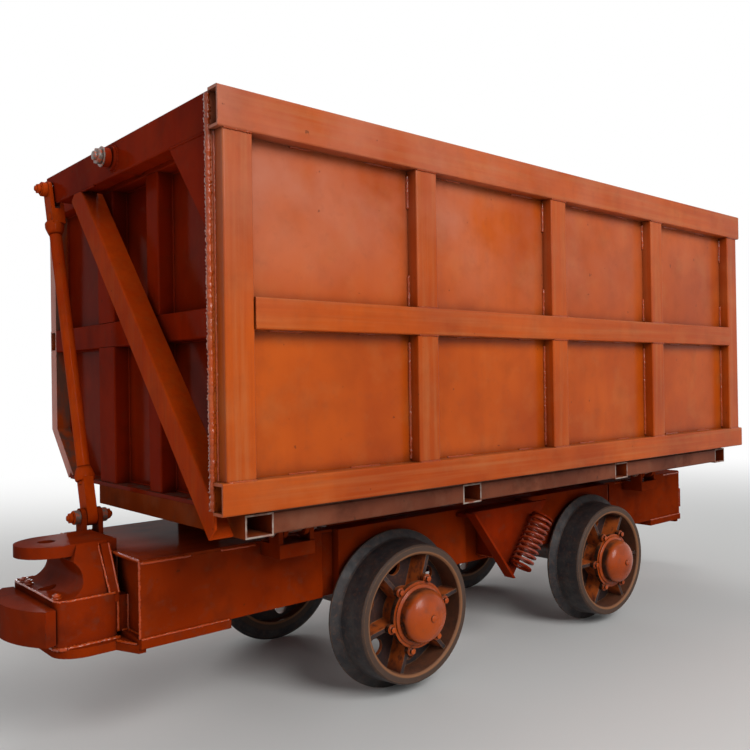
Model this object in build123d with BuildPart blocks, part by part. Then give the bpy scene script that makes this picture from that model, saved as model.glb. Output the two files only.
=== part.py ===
from build123d import *
import os
from math import cos, pi, radians, sin, sqrt

# Side dump ore cart on two rail axles. Millimetres, +X along the track, -Y the side that dumps,
# Z up from the lowest point of the wheel flanges. The origin is midway between the axles on the
# centre line of the track.

# Running gear
WHEELBASE = 1030
GAUGE = 762
RAIL_PLAY = 7
FLANGE_R = 253
TREAD_R = 225
RIM_OUT_R = 217
FLANGE_T = 28
TREAD_W = 104
RIM_IN_R = 186
RIM_LIP = 6
WEB_T = 14
WEB_HOLE_R = 27
WEB_HOLE_PITCH_R = 145
HUB_R = 76
RIB_T = 13
RIB_COUNT = 6
AXLE_R = 42
AXLE_FIT = 0.3
CAP_DOME_R = 84
CAP_KNUCKLE_R = 38
CAP_KNUCKLE_ARC = 60
CAP_BARREL = 20
CAP_RING_R = 104
CAP_RING_T = 16
CAP_EAR_R = 15
CAP_EAR_PITCH_R = 112
HUB_SET_BACK = 10
WHEEL_TURN = dict(front=12, rear=0)

# Rolled channels
CH8 = dict(height=80, depth=48, web=6, flange=8)
CH10 = dict(height=100, depth=48, web=6, flange=8)
HEEL_R = 5

# Box; the other lengths along the track follow from its length
BOX_L = 2540
DOOR_FACE_Y = -660
DOOR_PLATE_T = 8
DOOR_GAP = 6
FLOOR_LIFT = 136
FLOOR_T = 12
WALL_T = 8
WALL_INSET = 136
FAR_FACE_Y = 805
CHAMFER_RISE = 167
RIM_DROP = 14
TUBE = dict(width=80, height=60, wall=5)
TUBE_OVERRUN = 6
TUBE_MID_X = 400
TUBE_NEAR_REACH = 17
TUBE_FAR_Y = 332
SILL_H = 56
SILL_D = 60
SILL_T = 6
FAR_SILL_Y = 180
SEAT_GAP = 0.4
POST_A_Y = (210, 340)
POST_B_Y = (-125, -45)

# Door on the dump side
DOOR_LIFT = 10
DOOR_H = 1030
MID_RAIL_RISE = 449
POST_INSET = 15
POST_RECESS = 6
BAYS = 4
DOOR_PLATE_INSET = 2
DOOR_PLATE_SHORT = 6

# Side door arms and pull rods
ARM_INSET = 6
BAR = dict(height=100, depth=48, web=7, flange=8)
BAR_FAR_Y = 566
PIVOT_Y = -15
ROD_PIN_Y = 520
ROD_FOOT_Y = 200
ROD_FOOT_LIFT = 58
ROD_OUTSET = 4
BRACE = dict(height=80, depth=65, web=7, flange=8)
BRACE_TOP_Y = 190
BRACE_LOW_RISE = 84
GUSSET_T = 8
GUSSET_H = 242
GUSSET_W = 219
PIVOT_PIN_R = 20
PIVOT_BOSS_R = 36
PIVOT_PIN_REACH = 34
NUT_R = 24
NUT_T = 16
ROD_R = 19
ROD_PIN_R = 15
ROD_PIN_PLAY = 5
FORK_T = 12
FORK_W = 56
FORK_L = 130
FORK_CROWN = 52
FORK_PLAY = 5
FORK_CUT = 60
EYE_T = 30
EYE_W = 58
EYE_L = 120
EAR_T = 14
EAR_SIDE_GAP = 2

# Chassis
CHASSIS_OVERHANG = 20
BEAM_FACE_Y = 290
BEAM_BOTTOM = 320
BEAM = dict(height=200, depth=75, web=9, flange=11)
CHEEK_T = 10
CHEEK_GAP = 44
DECK_T = 8
DECK_GAP = 6
END_PLATE_T = 12
FOOT_T = 24
FOOT_INSET = 226
FOOT_LIP = 6
CHEEK_OVERRUN = 19
CROSS = dict(height=160, depth=65, web=8, flange=10)
CROSS_PITCH = 600
PEDESTAL_IN = 363
PEDESTAL_OUT = 191
PEDESTAL_T = 34
PEDESTAL_RISE = 14
SADDLE_W = 150
SADDLE_WALL = 22

# Coupler, in lengths from the chassis end plate outwards
NECK_L = 28
HEAD_L = 160
HEAD_HALF_W = 188
HEAD_CORNER_R = 24
JAW_H = 110
HEAD_DROP = 14
JAW_THROAT_H = 98
ARM_T = 32
ARM_REACH = 46
NECK_HALF_W = 100
SKIRT_HALF_W = 172
THROAT_DEPTH = 80
BUFFER_R = 344
BUFFER_NOSE = 83
BUFFER_H = 92
BUFFER_GAP_DROP = 18
COUPLING_PIN_SETBACK = 35
COUPLING_BORE_R = 23
FLARE_W = 22
NECK_SETBACK = 12
NECK_GAP = 4
FOOT_NOSE_R = 74
FOOT_NOSE_LIP = 24
FOOT_LAP = 40

# Box hinge
HINGE_Y = -375
HINGE_DROP = 94
HINGE_INSET = 365
HINGE_PIN_R = 16
LUG_T = 14
LUG_R = 30
LUG_SIDE_GAP = 2
CRADLE_GAP = 90
CRADLE_DEPTH = 40
REST_PAD_L = 120

# Side bracket and spring at mid length
BRACKET_HALF_W = 212
BRACKET_LIFT = 4
BRACKET_H = 256
BRACKET_TIP_HALF_W = 18
BRACKET_T = 10
BRACKET_Y = -388
BRACKET_RIBS_X = (-60, 20)
BRACKET_EDGE = 34
BRACKET_EDGE_T = 11
COIL_R = 38
COIL_WIRE_R = 4.5
COIL_TURNS = 9
COIL_LOW = (10, -446, 318)
COIL_HIGH = (118, -452, 466)
COIL_SEAT_T = 6
COIL_SEAT_LIP = 9
COIL_LUG_W = 24
COIL_SEAT_GAP = 0.3

# Unloading roller under the far edge of the floor
ROLLER_R = 95
ROLLER_W = 64
ROLLER_DROP = 119
ROLLER_PIN_R = 22
ROLLER_PLATE_T = 14
ROLLER_PLATE_HALF_W = 110
ROLLER_SIDE_GAP = 6

RUNNING_FIT = 0.4

os.makedirs("parts", exist_ok=True)

AXLE_Z = FLANGE_R
WHEEL_IN_Y = GAUGE / 2 - RAIL_PLAY - FLANGE_T
WHEEL_OUT_Y = WHEEL_IN_Y + FLANGE_T + TREAD_W
HUB_FACE_Y = WHEEL_OUT_Y - HUB_SET_BACK

BEAM_TOP = BEAM_BOTTOM + BEAM["height"]
DECK_TOP = BEAM_TOP + DECK_T
CHASSIS_L = BOX_L + 2 * CHASSIS_OVERHANG
CHASSIS_X = CHASSIS_L / 2
END_X = CHASSIS_X + END_PLATE_T
CHEEK_X = END_X + CHEEK_OVERRUN
PEDESTAL_OUT_X = WHEELBASE / 2 + PEDESTAL_OUT
CHEEK_IN_X = PEDESTAL_OUT_X + CHEEK_GAP
DECK_IN_X = PEDESTAL_OUT_X + DECK_GAP
HEAD_IN_X = END_X + NECK_L
HEAD_OUT_X = HEAD_IN_X + HEAD_L
JAW_TOP = BEAM_BOTTOM + JAW_H
JAW_BOTTOM = BEAM_BOTTOM - HEAD_DROP
ARM_BOTTOM = JAW_TOP + JAW_THROAT_H
ARM_TOP = ARM_BOTTOM + ARM_T
MOUTH_BACK_X = HEAD_OUT_X - THROAT_DEPTH

FLOOR_BOTTOM = DECK_TOP + FLOOR_LIFT
FLOOR_TOP = FLOOR_BOTTOM + FLOOR_T
TUBE_BOTTOM = FLOOR_BOTTOM - TUBE["height"]
DOOR_PLATE_Y = DOOR_FACE_Y + CH8["depth"]
DOOR_BACK_Y = DOOR_PLATE_Y + DOOR_PLATE_T
DOOR_BOTTOM = FLOOR_BOTTOM + DOOR_LIFT
DOOR_TOP = DOOR_BOTTOM + DOOR_H
BOX_TOP = DOOR_TOP - RIM_DROP
BOX_FRONT_Y = DOOR_BACK_Y + DOOR_GAP
BOX_FAR_Y = FAR_FACE_Y - CH8["depth"]
CHAMFER_Z = FLOOR_BOTTOM + CHAMFER_RISE
FLOOR_FAR_Y = BOX_FAR_Y - CHAMFER_RISE + FLOOR_T
WALL_OUT_X = BOX_L / 2 - WALL_INSET
WALL_IN_X = WALL_OUT_X - WALL_T
FRAME_OUT_X = WALL_OUT_X + CH8["depth"]
TUBE_OUT_X = FRAME_OUT_X + TUBE_OVERRUN
TUBE_NEAR_Y = BOX_FRONT_Y - TUBE_NEAR_REACH
MID_RAIL_Z = DOOR_BOTTOM + MID_RAIL_RISE
WALL_RAIL_Z = MID_RAIL_Z - DOOR_LIFT
WALL_TOP_RAIL_Z = BOX_TOP - CH8["height"]

ARM_FACE_X = BOX_L / 2 - ARM_INSET
BAR_Z = DOOR_TOP - BAR["height"]
PIVOT_Z = BAR_Z + BAR["height"] / 2
ROD_X = ARM_FACE_X + ROD_OUTSET
ROD_FOOT_Z = DECK_TOP + ROD_FOOT_LIFT
BRACE_LOW_Z = FLOOR_BOTTOM + BRACE_LOW_RISE
HINGE_Z = FLOOR_BOTTOM - HINGE_DROP
HINGE_X = (-BOX_L / 2 + HINGE_INSET, BOX_L / 2 - HINGE_INSET)
BRACKET_TOP = BEAM_TOP + BRACKET_LIFT
BRACKET_TIP_Z = BRACKET_TOP - BRACKET_H
ROLLER_Z = FLOOR_BOTTOM - ROLLER_DROP
ROLLER_Y = FLOOR_FAR_Y
ENDS = (("front", -1), ("rear", 1))


def write(part, name):
    part.label = name
    export_step(part, f"parts/{name}.step")


def channel_section(start, depth_dir, run_dir, size):
    """C section with rounded heels, its web's outer face at start and its flanges toward depth_dir."""
    h, d, w, f, r = size["height"], size["depth"], size["web"], size["flange"], HEEL_R
    bulge = r * (1 - sin(radians(45)))
    with BuildSketch(Plane(origin=start, x_dir=depth_dir, z_dir=run_dir)) as section:
        with BuildLine():
            Polyline((r, 0), (d, 0), (d, f), (w, f), (w, h - f), (d, h - f), (d, h), (r, h))
            ThreePointArc((r, h), (bulge, h - bulge), (0, h - r))
            Line((0, h - r), (0, r))
            ThreePointArc((0, r), (bulge, bulge), (r, 0))
        make_face()
    return section.sketch


def box_from(x, y, z):
    """Plain block between two limits on each axis."""
    with BuildPart() as block:
        with BuildSketch(Plane.XY.offset(min(z))):
            with Locations(((x[0] + x[1]) / 2, (y[0] + y[1]) / 2)):
                Rectangle(abs(x[1] - x[0]), abs(y[1] - y[0]))
        extrude(amount=abs(z[1] - z[0]))
    return block.part


def disc_x(x, y, z, radius):
    """Round rod or bore along X."""
    with BuildPart() as rod:
        with BuildSketch(Plane(origin=(min(x), y, z), x_dir=(0, 1, 0), z_dir=(1, 0, 0))):
            Circle(radius)
        extrude(amount=abs(x[1] - x[0]))
    return rod.part


# Wheelsets
def wheel(x, side, rib_turn):
    """Spoked wheel on one side of the axle; side is -1 near, 1 far."""
    seat = Plane(origin=(x, 0, AXLE_Z), x_dir=(1, 0, 0), z_dir=(0, side, 0))
    web_y = WHEEL_IN_Y + FLANGE_T + 8
    with BuildPart() as body:
        with BuildSketch(Plane(origin=(x, 0, AXLE_Z), x_dir=(1, 0, 0), z_dir=(0, 0, 1))) as rim:
            with BuildLine():
                Polyline(
                    (RIM_IN_R, side * WHEEL_IN_Y),
                    (FLANGE_R - 10, side * WHEEL_IN_Y),
                    (FLANGE_R, side * (WHEEL_IN_Y + 9)),
                    (FLANGE_R, side * (WHEEL_IN_Y + 15)),
                    (TREAD_R + 4, side * (WHEEL_IN_Y + FLANGE_T)),
                    (TREAD_R, side * (WHEEL_IN_Y + FLANGE_T + 5)),
                    (RIM_OUT_R, side * (WHEEL_OUT_Y - RIM_LIP)),
                    (RIM_OUT_R - RIM_LIP, side * WHEEL_OUT_Y),
                    (RIM_IN_R + RIM_LIP, side * WHEEL_OUT_Y),
                    (RIM_IN_R, side * (WHEEL_OUT_Y - RIM_LIP)),
                    close=True,
                )
            make_face()
        revolve(axis=Axis((x, 0, AXLE_Z), (0, 1, 0)))
        with BuildSketch(seat.offset(web_y)):
            Circle(RIM_IN_R + 1)
            hole_turn = -side * (rib_turn + 180 / RIB_COUNT)
            with PolarLocations(WEB_HOLE_PITCH_R, RIB_COUNT, start_angle=hole_turn):
                Circle(WEB_HOLE_R, mode=Mode.SUBTRACT)
        extrude(amount=WEB_T)
        with BuildSketch(seat.offset(WHEEL_IN_Y - 6)):
            Circle(HUB_R)
        extrude(amount=HUB_FACE_Y - WHEEL_IN_Y + 6)
        for i in range(RIB_COUNT):
            turn = radians(rib_turn + i * 360 / RIB_COUNT)
            rib_dir = Vector(cos(turn), 0, sin(turn))
            rib_plane = Plane(
                origin=Vector(x, 0, AXLE_Z) - Vector(-sin(turn), 0, cos(turn)) * RIB_T / 2,
                x_dir=rib_dir,
                z_dir=Vector(-sin(turn), 0, cos(turn)),
            )
            reach = -1 if rib_plane.y_dir.Y * side < 0 else 1
            with BuildSketch(rib_plane):
                with BuildLine():
                    Polyline(
                        (HUB_R - 6, reach * web_y),
                        (RIM_IN_R + 1, reach * web_y),
                        (RIM_IN_R + 1, reach * (WHEEL_OUT_Y - 14)),
                        (HUB_R - 6, reach * (HUB_FACE_Y - 2)),
                        close=True,
                    )
                make_face()
            extrude(amount=RIB_T)
        with BuildSketch(seat.offset(WHEEL_IN_Y - 6)):
            Circle(AXLE_R + AXLE_FIT)
        extrude(amount=WHEEL_OUT_Y - WHEEL_IN_Y + 10, mode=Mode.SUBTRACT)
    return body.part


def hub_cap(x, side, ear_turn):
    """Bearing cap: bolted ring with six ears, short barrel and dished face."""
    seat = Plane(origin=(x, 0, AXLE_Z), x_dir=(1, 0, 0), z_dir=(0, side, 0))
    ring_face = HUB_FACE_Y + CAP_RING_T
    base = ring_face + CAP_BARREL
    knuckle_x = CAP_DOME_R - CAP_KNUCKLE_R
    arc = radians(CAP_KNUCKLE_ARC)
    crown_r = knuckle_x / cos(arc) + CAP_KNUCKLE_R
    crown_y = base - (crown_r - CAP_KNUCKLE_R) * sin(arc)
    crown_mid = radians((90 + CAP_KNUCKLE_ARC) / 2)
    knuckle_end = (knuckle_x + CAP_KNUCKLE_R * cos(arc), side * (base + CAP_KNUCKLE_R * sin(arc)))
    with BuildPart() as cap:
        with BuildSketch(seat.offset(HUB_FACE_Y)):
            Circle(CAP_RING_R)
            with PolarLocations(CAP_EAR_PITCH_R, RIB_COUNT, start_angle=-side * ear_turn):
                Circle(CAP_EAR_R)
        extrude(amount=CAP_RING_T)
        with BuildSketch(Plane(origin=(x, 0, AXLE_Z), x_dir=(1, 0, 0), z_dir=(0, 0, 1))):
            with BuildLine():
                rim = (CAP_DOME_R, side * base)
                top = (0, side * (crown_y + crown_r))
                Polyline(rim, (CAP_DOME_R, side * (ring_face - 1)), (0, side * (ring_face - 1)), top)
                ThreePointArc(
                    top,
                    (crown_r * cos(crown_mid), side * (crown_y + crown_r * sin(crown_mid))),
                    knuckle_end,
                )
                ThreePointArc(
                    knuckle_end,
                    (
                        knuckle_x + CAP_KNUCKLE_R * cos(arc / 2),
                        side * (base + CAP_KNUCKLE_R * sin(arc / 2)),
                    ),
                    rim,
                )
            make_face()
        revolve(axis=Axis((x, 0, AXLE_Z), (0, 1, 0)))
    return cap.part


for end, sx in ENDS:
    axle_x = sx * WHEELBASE / 2
    with BuildPart() as axle:
        with BuildSketch(Plane(origin=(axle_x, -HUB_FACE_Y, AXLE_Z), x_dir=(1, 0, 0), z_dir=(0, 1, 0))):
            Circle(AXLE_R)
        extrude(amount=2 * HUB_FACE_Y)
    write(axle.part, f"axle_{end}")
    for side_name, side in (("near", -1), ("far", 1)):
        write(wheel(axle_x, side, WHEEL_TURN[end]), f"wheel_{end}_{side_name}")
    with BuildPart() as caps:
        add(hub_cap(axle_x, -1, WHEEL_TURN[end]))
        add(hub_cap(axle_x, 1, WHEEL_TURN[end]))
    write(caps.part, f"hub_caps_{end}")

# Chassis side beams with cheek plates at their ends
with BuildPart() as side_beams:
    for side in (-1, 1):
        start = (side * CHASSIS_X, side * BEAM_FACE_Y, BEAM_BOTTOM)
        extrude(channel_section(start, (0, -side, 0), (-side, 0, 0), BEAM), amount=CHASSIS_L)
        for sx in (-1, 1):
            add(
                box_from(
                    (sx * CHEEK_X, sx * CHEEK_IN_X),
                    (side * BEAM_FACE_Y, side * (BEAM_FACE_Y + CHEEK_T)),
                    (BEAM_BOTTOM, BEAM_TOP),
                )
            )
write(side_beams.part, "side_beams")

# Decks, end plates and the flared foot plates that carry the couplers
CHEEK_Y = BEAM_FACE_Y + CHEEK_T
with BuildPart() as deck_plates:
    for end, sx in ENDS:
        add(box_from((sx * CHEEK_X, sx * DECK_IN_X), (-CHEEK_Y, CHEEK_Y), (BEAM_TOP, DECK_TOP)))
        notch_y = NECK_HALF_W + NECK_GAP
        notch = box_from((sx * END_X, sx * (CHEEK_X + 1)), (-notch_y, notch_y), (BEAM_TOP, DECK_TOP))
        add(notch, mode=Mode.SUBTRACT)
write(deck_plates.part, "deck_plates")

with BuildPart() as end_plates:
    for end, sx in ENDS:
        add(box_from((sx * CHASSIS_X, sx * END_X), (-BEAM_FACE_Y, BEAM_FACE_Y), (BEAM_BOTTOM, BEAM_TOP)))
write(end_plates.part, "end_plates")

with BuildPart() as foot_plates:
    for end, sx in ENDS:
        lip = CHEEK_Y + FOOT_LIP
        add(
            box_from(
                (sx * CHEEK_X, sx * (CHASSIS_X - FOOT_INSET)),
                (-lip, lip),
                (BEAM_BOTTOM - FOOT_T, BEAM_BOTTOM),
            )
        )
        nose_y = HEAD_HALF_W + FOOT_NOSE_LIP
        nose_x = HEAD_OUT_X - FOOT_NOSE_R
        corner = FOOT_NOSE_R * (1 - sin(radians(45)))
        with BuildSketch(Plane.XY.offset(JAW_BOTTOM - FOOT_T)):
            with BuildLine():
                Polyline(
                    (sx * nose_x, nose_y),
                    (sx * (HEAD_IN_X + 20), nose_y),
                    (sx * CHEEK_X, BEAM_FACE_Y),
                    (sx * END_X, BEAM_FACE_Y),
                    (sx * (END_X - FOOT_LAP), NECK_HALF_W),
                    (sx * (END_X - FOOT_LAP), -NECK_HALF_W),
                    (sx * END_X, -BEAM_FACE_Y),
                    (sx * CHEEK_X, -BEAM_FACE_Y),
                    (sx * (HEAD_IN_X + 20), -nose_y),
                    (sx * nose_x, -nose_y),
                )
                ThreePointArc(
                    (sx * nose_x, -nose_y),
                    (sx * (HEAD_OUT_X - corner), -nose_y + corner),
                    (sx * HEAD_OUT_X, -nose_y + FOOT_NOSE_R),
                )
                Line((sx * HEAD_OUT_X, -nose_y + FOOT_NOSE_R), (sx * HEAD_OUT_X, nose_y - FOOT_NOSE_R))
                ThreePointArc(
                    (sx * HEAD_OUT_X, nose_y - FOOT_NOSE_R),
                    (sx * (HEAD_OUT_X - corner), nose_y - corner),
                    (sx * nose_x, nose_y),
                )
            make_face()
            with Locations((sx * (HEAD_OUT_X - COUPLING_PIN_SETBACK), 0)):
                Circle(COUPLING_BORE_R, mode=Mode.SUBTRACT)
        extrude(amount=FOOT_T)
write(foot_plates.part, "foot_plates")

# Cross members between the side beams
with BuildPart() as cross_members:
    inner_y = BEAM_FACE_Y - BEAM["web"]
    for x in (-CROSS_PITCH, 0, CROSS_PITCH):
        top_z = BEAM_BOTTOM + BEAM["flange"] + 1 + CROSS["height"]
        start = (x - CROSS["depth"] / 2, -inner_y, top_z)
        extrude(channel_section(start, (1, 0, 0), (0, 1, 0), CROSS), amount=2 * inner_y)
write(cross_members.part, "cross_members")

# Pedestals: boxed plate outside each beam and the saddle that holds the axle
with BuildPart() as pedestals:
    for end, sx in ENDS:
        axle_x = sx * WHEELBASE / 2
        for side in (-1, 1):
            add(
                box_from(
                    (axle_x - sx * PEDESTAL_IN, axle_x + sx * PEDESTAL_OUT),
                    (side * BEAM_FACE_Y, side * (BEAM_FACE_Y + PEDESTAL_T)),
                    (BEAM_BOTTOM + PEDESTAL_RISE, DECK_TOP),
                )
            )
            add(
                box_from(
                    (axle_x - SADDLE_W / 2, axle_x + SADDLE_W / 2),
                    (side * (BEAM_FACE_Y - BEAM["depth"]), side * (BEAM_FACE_Y + PEDESTAL_T)),
                    (AXLE_Z - AXLE_R - SADDLE_WALL, BEAM_BOTTOM),
                )
            )
        with Locations(Location((axle_x, 0, AXLE_Z), (90, 0, 0))):
            Cylinder(AXLE_R + RUNNING_FIT, 2 * WHEEL_IN_Y, mode=Mode.SUBTRACT)
write(pedestals.part, "pedestals")

# Coupler heads: rounded lower jaw, flared neck, open throat and round-nosed upper arm
with BuildPart() as coupler_heads:
    throat_r = JAW_THROAT_H / 2
    for end, sx in ENDS:
        with BuildSketch(Plane.XY.offset(JAW_BOTTOM)) as jaw:
            with Locations((sx * (HEAD_IN_X + HEAD_OUT_X) / 2, 0)):
                Rectangle(HEAD_L, 2 * HEAD_HALF_W)
            fillet(jaw.vertices(), HEAD_CORNER_R)
        extrude(amount=JAW_TOP - JAW_BOTTOM)
        neck_x = (sx * END_X, sx * (HEAD_IN_X + 10))
        shoulder_y = HEAD_HALF_W - NECK_SETBACK
        add(box_from(neck_x, (-shoulder_y, shoulder_y), (BEAM_BOTTOM, JAW_TOP - NECK_SETBACK)))
        add(box_from(neck_x, (-NECK_HALF_W, NECK_HALF_W), (BEAM_BOTTOM, ARM_TOP)))
        with BuildSketch(Plane.XY.offset(JAW_TOP)):
            with Locations((sx * (HEAD_IN_X + MOUTH_BACK_X + throat_r) / 2, 0)):
                Rectangle(MOUTH_BACK_X + throat_r - HEAD_IN_X, 2 * SKIRT_HALF_W)
        with BuildSketch(Plane.XY.offset(ARM_TOP)):
            with Locations((sx * (HEAD_IN_X + MOUTH_BACK_X) / 2, 0)):
                Rectangle(MOUTH_BACK_X - HEAD_IN_X, 2 * NECK_HALF_W)
        loft()
        arm_out_x = HEAD_OUT_X + ARM_REACH
        with BuildSketch(Plane.XY.offset(ARM_BOTTOM)):
            with BuildLine():
                Polyline(
                    (sx * (arm_out_x - NECK_HALF_W), NECK_HALF_W),
                    (sx * (HEAD_IN_X + 10), NECK_HALF_W),
                    (sx * (HEAD_IN_X + 10), -NECK_HALF_W),
                    (sx * (arm_out_x - NECK_HALF_W), -NECK_HALF_W),
                )
                ThreePointArc(
                    (sx * (arm_out_x - NECK_HALF_W), -NECK_HALF_W),
                    (sx * arm_out_x, 0),
                    (sx * (arm_out_x - NECK_HALF_W), NECK_HALF_W),
                )
            make_face()
        extrude(amount=ARM_T)
        # open throat with a round back
        with BuildSketch(Plane(origin=(0, HEAD_HALF_W + 20, 0), x_dir=(1, 0, 0), z_dir=(0, -1, 0))):
            with Locations((sx * (MOUTH_BACK_X + throat_r), JAW_TOP + throat_r)):
                Circle(throat_r)
            with Locations((sx * (MOUTH_BACK_X + throat_r + HEAD_L / 2), JAW_TOP + throat_r)):
                Rectangle(HEAD_L, JAW_THROAT_H)
        extrude(amount=2 * HEAD_HALF_W + 40, mode=Mode.SUBTRACT)
        # slanted flare ribs at the back of the head
        rib_x = min(sx * HEAD_IN_X, sx * (HEAD_IN_X + FLARE_W))
        for side in (-1, 1):
            with BuildSketch(Plane(origin=(rib_x, 0, 0), x_dir=(0, 1, 0), z_dir=(1, 0, 0))):
                with BuildLine():
                    Polyline(
                        (side * (NECK_HALF_W - 6), ARM_TOP - 6),
                        (side * (NECK_HALF_W + 16), ARM_TOP - 6),
                        (side * (HEAD_HALF_W - 4), JAW_TOP),
                        (side * (HEAD_HALF_W - 4), JAW_TOP - 26),
                        (side * (NECK_HALF_W - 6), JAW_TOP - 26),
                        close=True,
                    )
                make_face()
            extrude(amount=FLARE_W)
        with Locations((sx * (HEAD_OUT_X - COUPLING_PIN_SETBACK), 0, (BEAM_BOTTOM + ARM_TOP) / 2)):
            Cylinder(COUPLING_BORE_R, 2 * (ARM_TOP - BEAM_BOTTOM), mode=Mode.SUBTRACT)
write(coupler_heads.part, "coupler_heads")

# Curved buffer plates in front of the lower jaws
with BuildPart() as buffer_plates:
    for end, sx in ENDS:
        centre_x = HEAD_OUT_X + BUFFER_NOSE - BUFFER_R
        outer_x = centre_x + sqrt(BUFFER_R ** 2 - HEAD_HALF_W ** 2)
        with BuildSketch(Plane.XY.offset(JAW_TOP - BUFFER_GAP_DROP - BUFFER_H)) as outline:
            with BuildLine():
                ThreePointArc(
                    (sx * outer_x, -HEAD_HALF_W),
                    (sx * (HEAD_OUT_X + BUFFER_NOSE), 0),
                    (sx * outer_x, HEAD_HALF_W),
                )
                Polyline(
                    (sx * outer_x, HEAD_HALF_W),
                    (sx * HEAD_OUT_X, HEAD_HALF_W - 8),
                    (sx * HEAD_OUT_X, 8 - HEAD_HALF_W),
                    (sx * outer_x, -HEAD_HALF_W),
                )
            make_face()
        extrude(amount=BUFFER_H)
write(buffer_plates.part, "buffer_plates")

# Seats on the chassis for the box: hinge cradles on the dump side, rest pads on the far side
with BuildPart() as cradles:
    for x in HINGE_X:
        add(
            box_from(
                (x - CRADLE_GAP / 2 - LUG_T, x + CRADLE_GAP / 2 + LUG_T),
                (HINGE_Y - LUG_R, -BEAM_FACE_Y - CHEEK_T),
                (DECK_TOP - CRADLE_DEPTH, DECK_TOP),
            )
        )
        for outer in (-1, 1):
            inner_face = x + outer * CRADLE_GAP / 2
            add(disc_x((inner_face, inner_face + outer * LUG_T), HINGE_Y, HINGE_Z, LUG_R - 4))
            add(
                box_from(
                    (inner_face, inner_face + outer * LUG_T),
                    (HINGE_Y - LUG_R + 4, HINGE_Y + LUG_R - 4),
                    (DECK_TOP, HINGE_Z),
                )
            )
        add(disc_x((x - CRADLE_GAP, x + CRADLE_GAP), HINGE_Y, HINGE_Z, HINGE_PIN_R), mode=Mode.SUBTRACT)
write(cradles.part, "hinge_cradles")

with BuildPart() as hinge_pins:
    for x in HINGE_X:
        reach = CRADLE_GAP / 2 + LUG_T + 10
        add(disc_x((x - reach, x + reach), HINGE_Y, HINGE_Z, HINGE_PIN_R))
write(hinge_pins.part, "hinge_pins")

with BuildPart() as rest_pads:
    for x in HINGE_X:
        add(
            box_from(
                (x - REST_PAD_L / 2, x + REST_PAD_L / 2),
                (FAR_SILL_Y, FAR_SILL_Y + SILL_D),
                (DECK_TOP, FLOOR_BOTTOM - SILL_H - SEAT_GAP),
            )
        )
write(rest_pads.part, "rest_pads")

# Side bracket and its coil spring
with BuildPart() as side_bracket:
    with BuildSketch(Plane(origin=(0, BRACKET_Y, 0), x_dir=(1, 0, 0), z_dir=(0, -1, 0))):
        with BuildLine():
            Polyline(
                (-BRACKET_HALF_W, BRACKET_TOP),
                (-BRACKET_TIP_HALF_W, BRACKET_TIP_Z),
                (BRACKET_TIP_HALF_W, BRACKET_TIP_Z),
                (BRACKET_HALF_W, BRACKET_TOP),
                close=True,
            )
        make_face()
    extrude(amount=BRACKET_T)
    with BuildSketch(Plane(origin=(0, BRACKET_Y, 0), x_dir=(1, 0, 0), z_dir=(0, -1, 0))):
        with BuildLine():
            Polyline(
                (-BRACKET_HALF_W, BRACKET_TOP),
                (-BRACKET_TIP_HALF_W, BRACKET_TIP_Z),
                (BRACKET_EDGE_T - BRACKET_TIP_HALF_W, BRACKET_TIP_Z),
                (BRACKET_EDGE_T - BRACKET_HALF_W, BRACKET_TOP),
                close=True,
            )
        make_face()
    extrude(amount=BRACKET_T + BRACKET_EDGE)
    shelf_x = BRACKET_HALF_W - 14
    shelf_z = (BEAM_TOP - 16, BEAM_TOP - 4)
    pedestal_gap = WHEELBASE / 2 - PEDESTAL_IN
    add(box_from((-shelf_x, shelf_x), (BRACKET_Y, -BEAM_FACE_Y - PEDESTAL_T), shelf_z))
    add(box_from((-pedestal_gap + 2, pedestal_gap - 2), (BRACKET_Y, -BEAM_FACE_Y), shelf_z))
    for x in BRACKET_RIBS_X:
        add(box_from((x - 5, x + 5), (BRACKET_Y, -BEAM_FACE_Y), (BEAM_BOTTOM + 20, BEAM_TOP - 10)))
    # washers on lugs that hold the ends of the spring
    coil_dir = (Vector(*COIL_HIGH) - Vector(*COIL_LOW)).normalized()
    lug_reach = BRACKET_Y - COIL_LOW[1]
    seat_drop = COIL_WIRE_R + COIL_SEAT_GAP + COIL_SEAT_T
    for point, inward in ((COIL_LOW, 1), (COIL_HIGH, -1)):
        seat = Plane(origin=point, x_dir=(0, -1, 0), z_dir=coil_dir * inward).offset(-seat_drop)
        with BuildSketch(seat):
            Circle(COIL_R + COIL_WIRE_R)
            Circle(COIL_R - COIL_SEAT_LIP, mode=Mode.SUBTRACT)
            with Locations((-(COIL_R - COIL_SEAT_LIP + lug_reach) / 2, 0)):
                Rectangle(lug_reach - COIL_R + COIL_SEAT_LIP, COIL_LUG_W)
        extrude(amount=COIL_SEAT_T)
write(side_bracket.part, "side_bracket")

with BuildPart() as spring:
    axis = Vector(*COIL_HIGH) - Vector(*COIL_LOW)
    with BuildLine() as coil_line:
        Helix(axis.length / COIL_TURNS, axis.length, COIL_R, center=COIL_LOW, direction=tuple(axis))
    with BuildSketch(Plane(origin=coil_line.line @ 0, z_dir=coil_line.line % 0)):
        Circle(COIL_WIRE_R)
    sweep(path=coil_line.line, is_frenet=True)
write(spring.part, "coil_spring")

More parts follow.
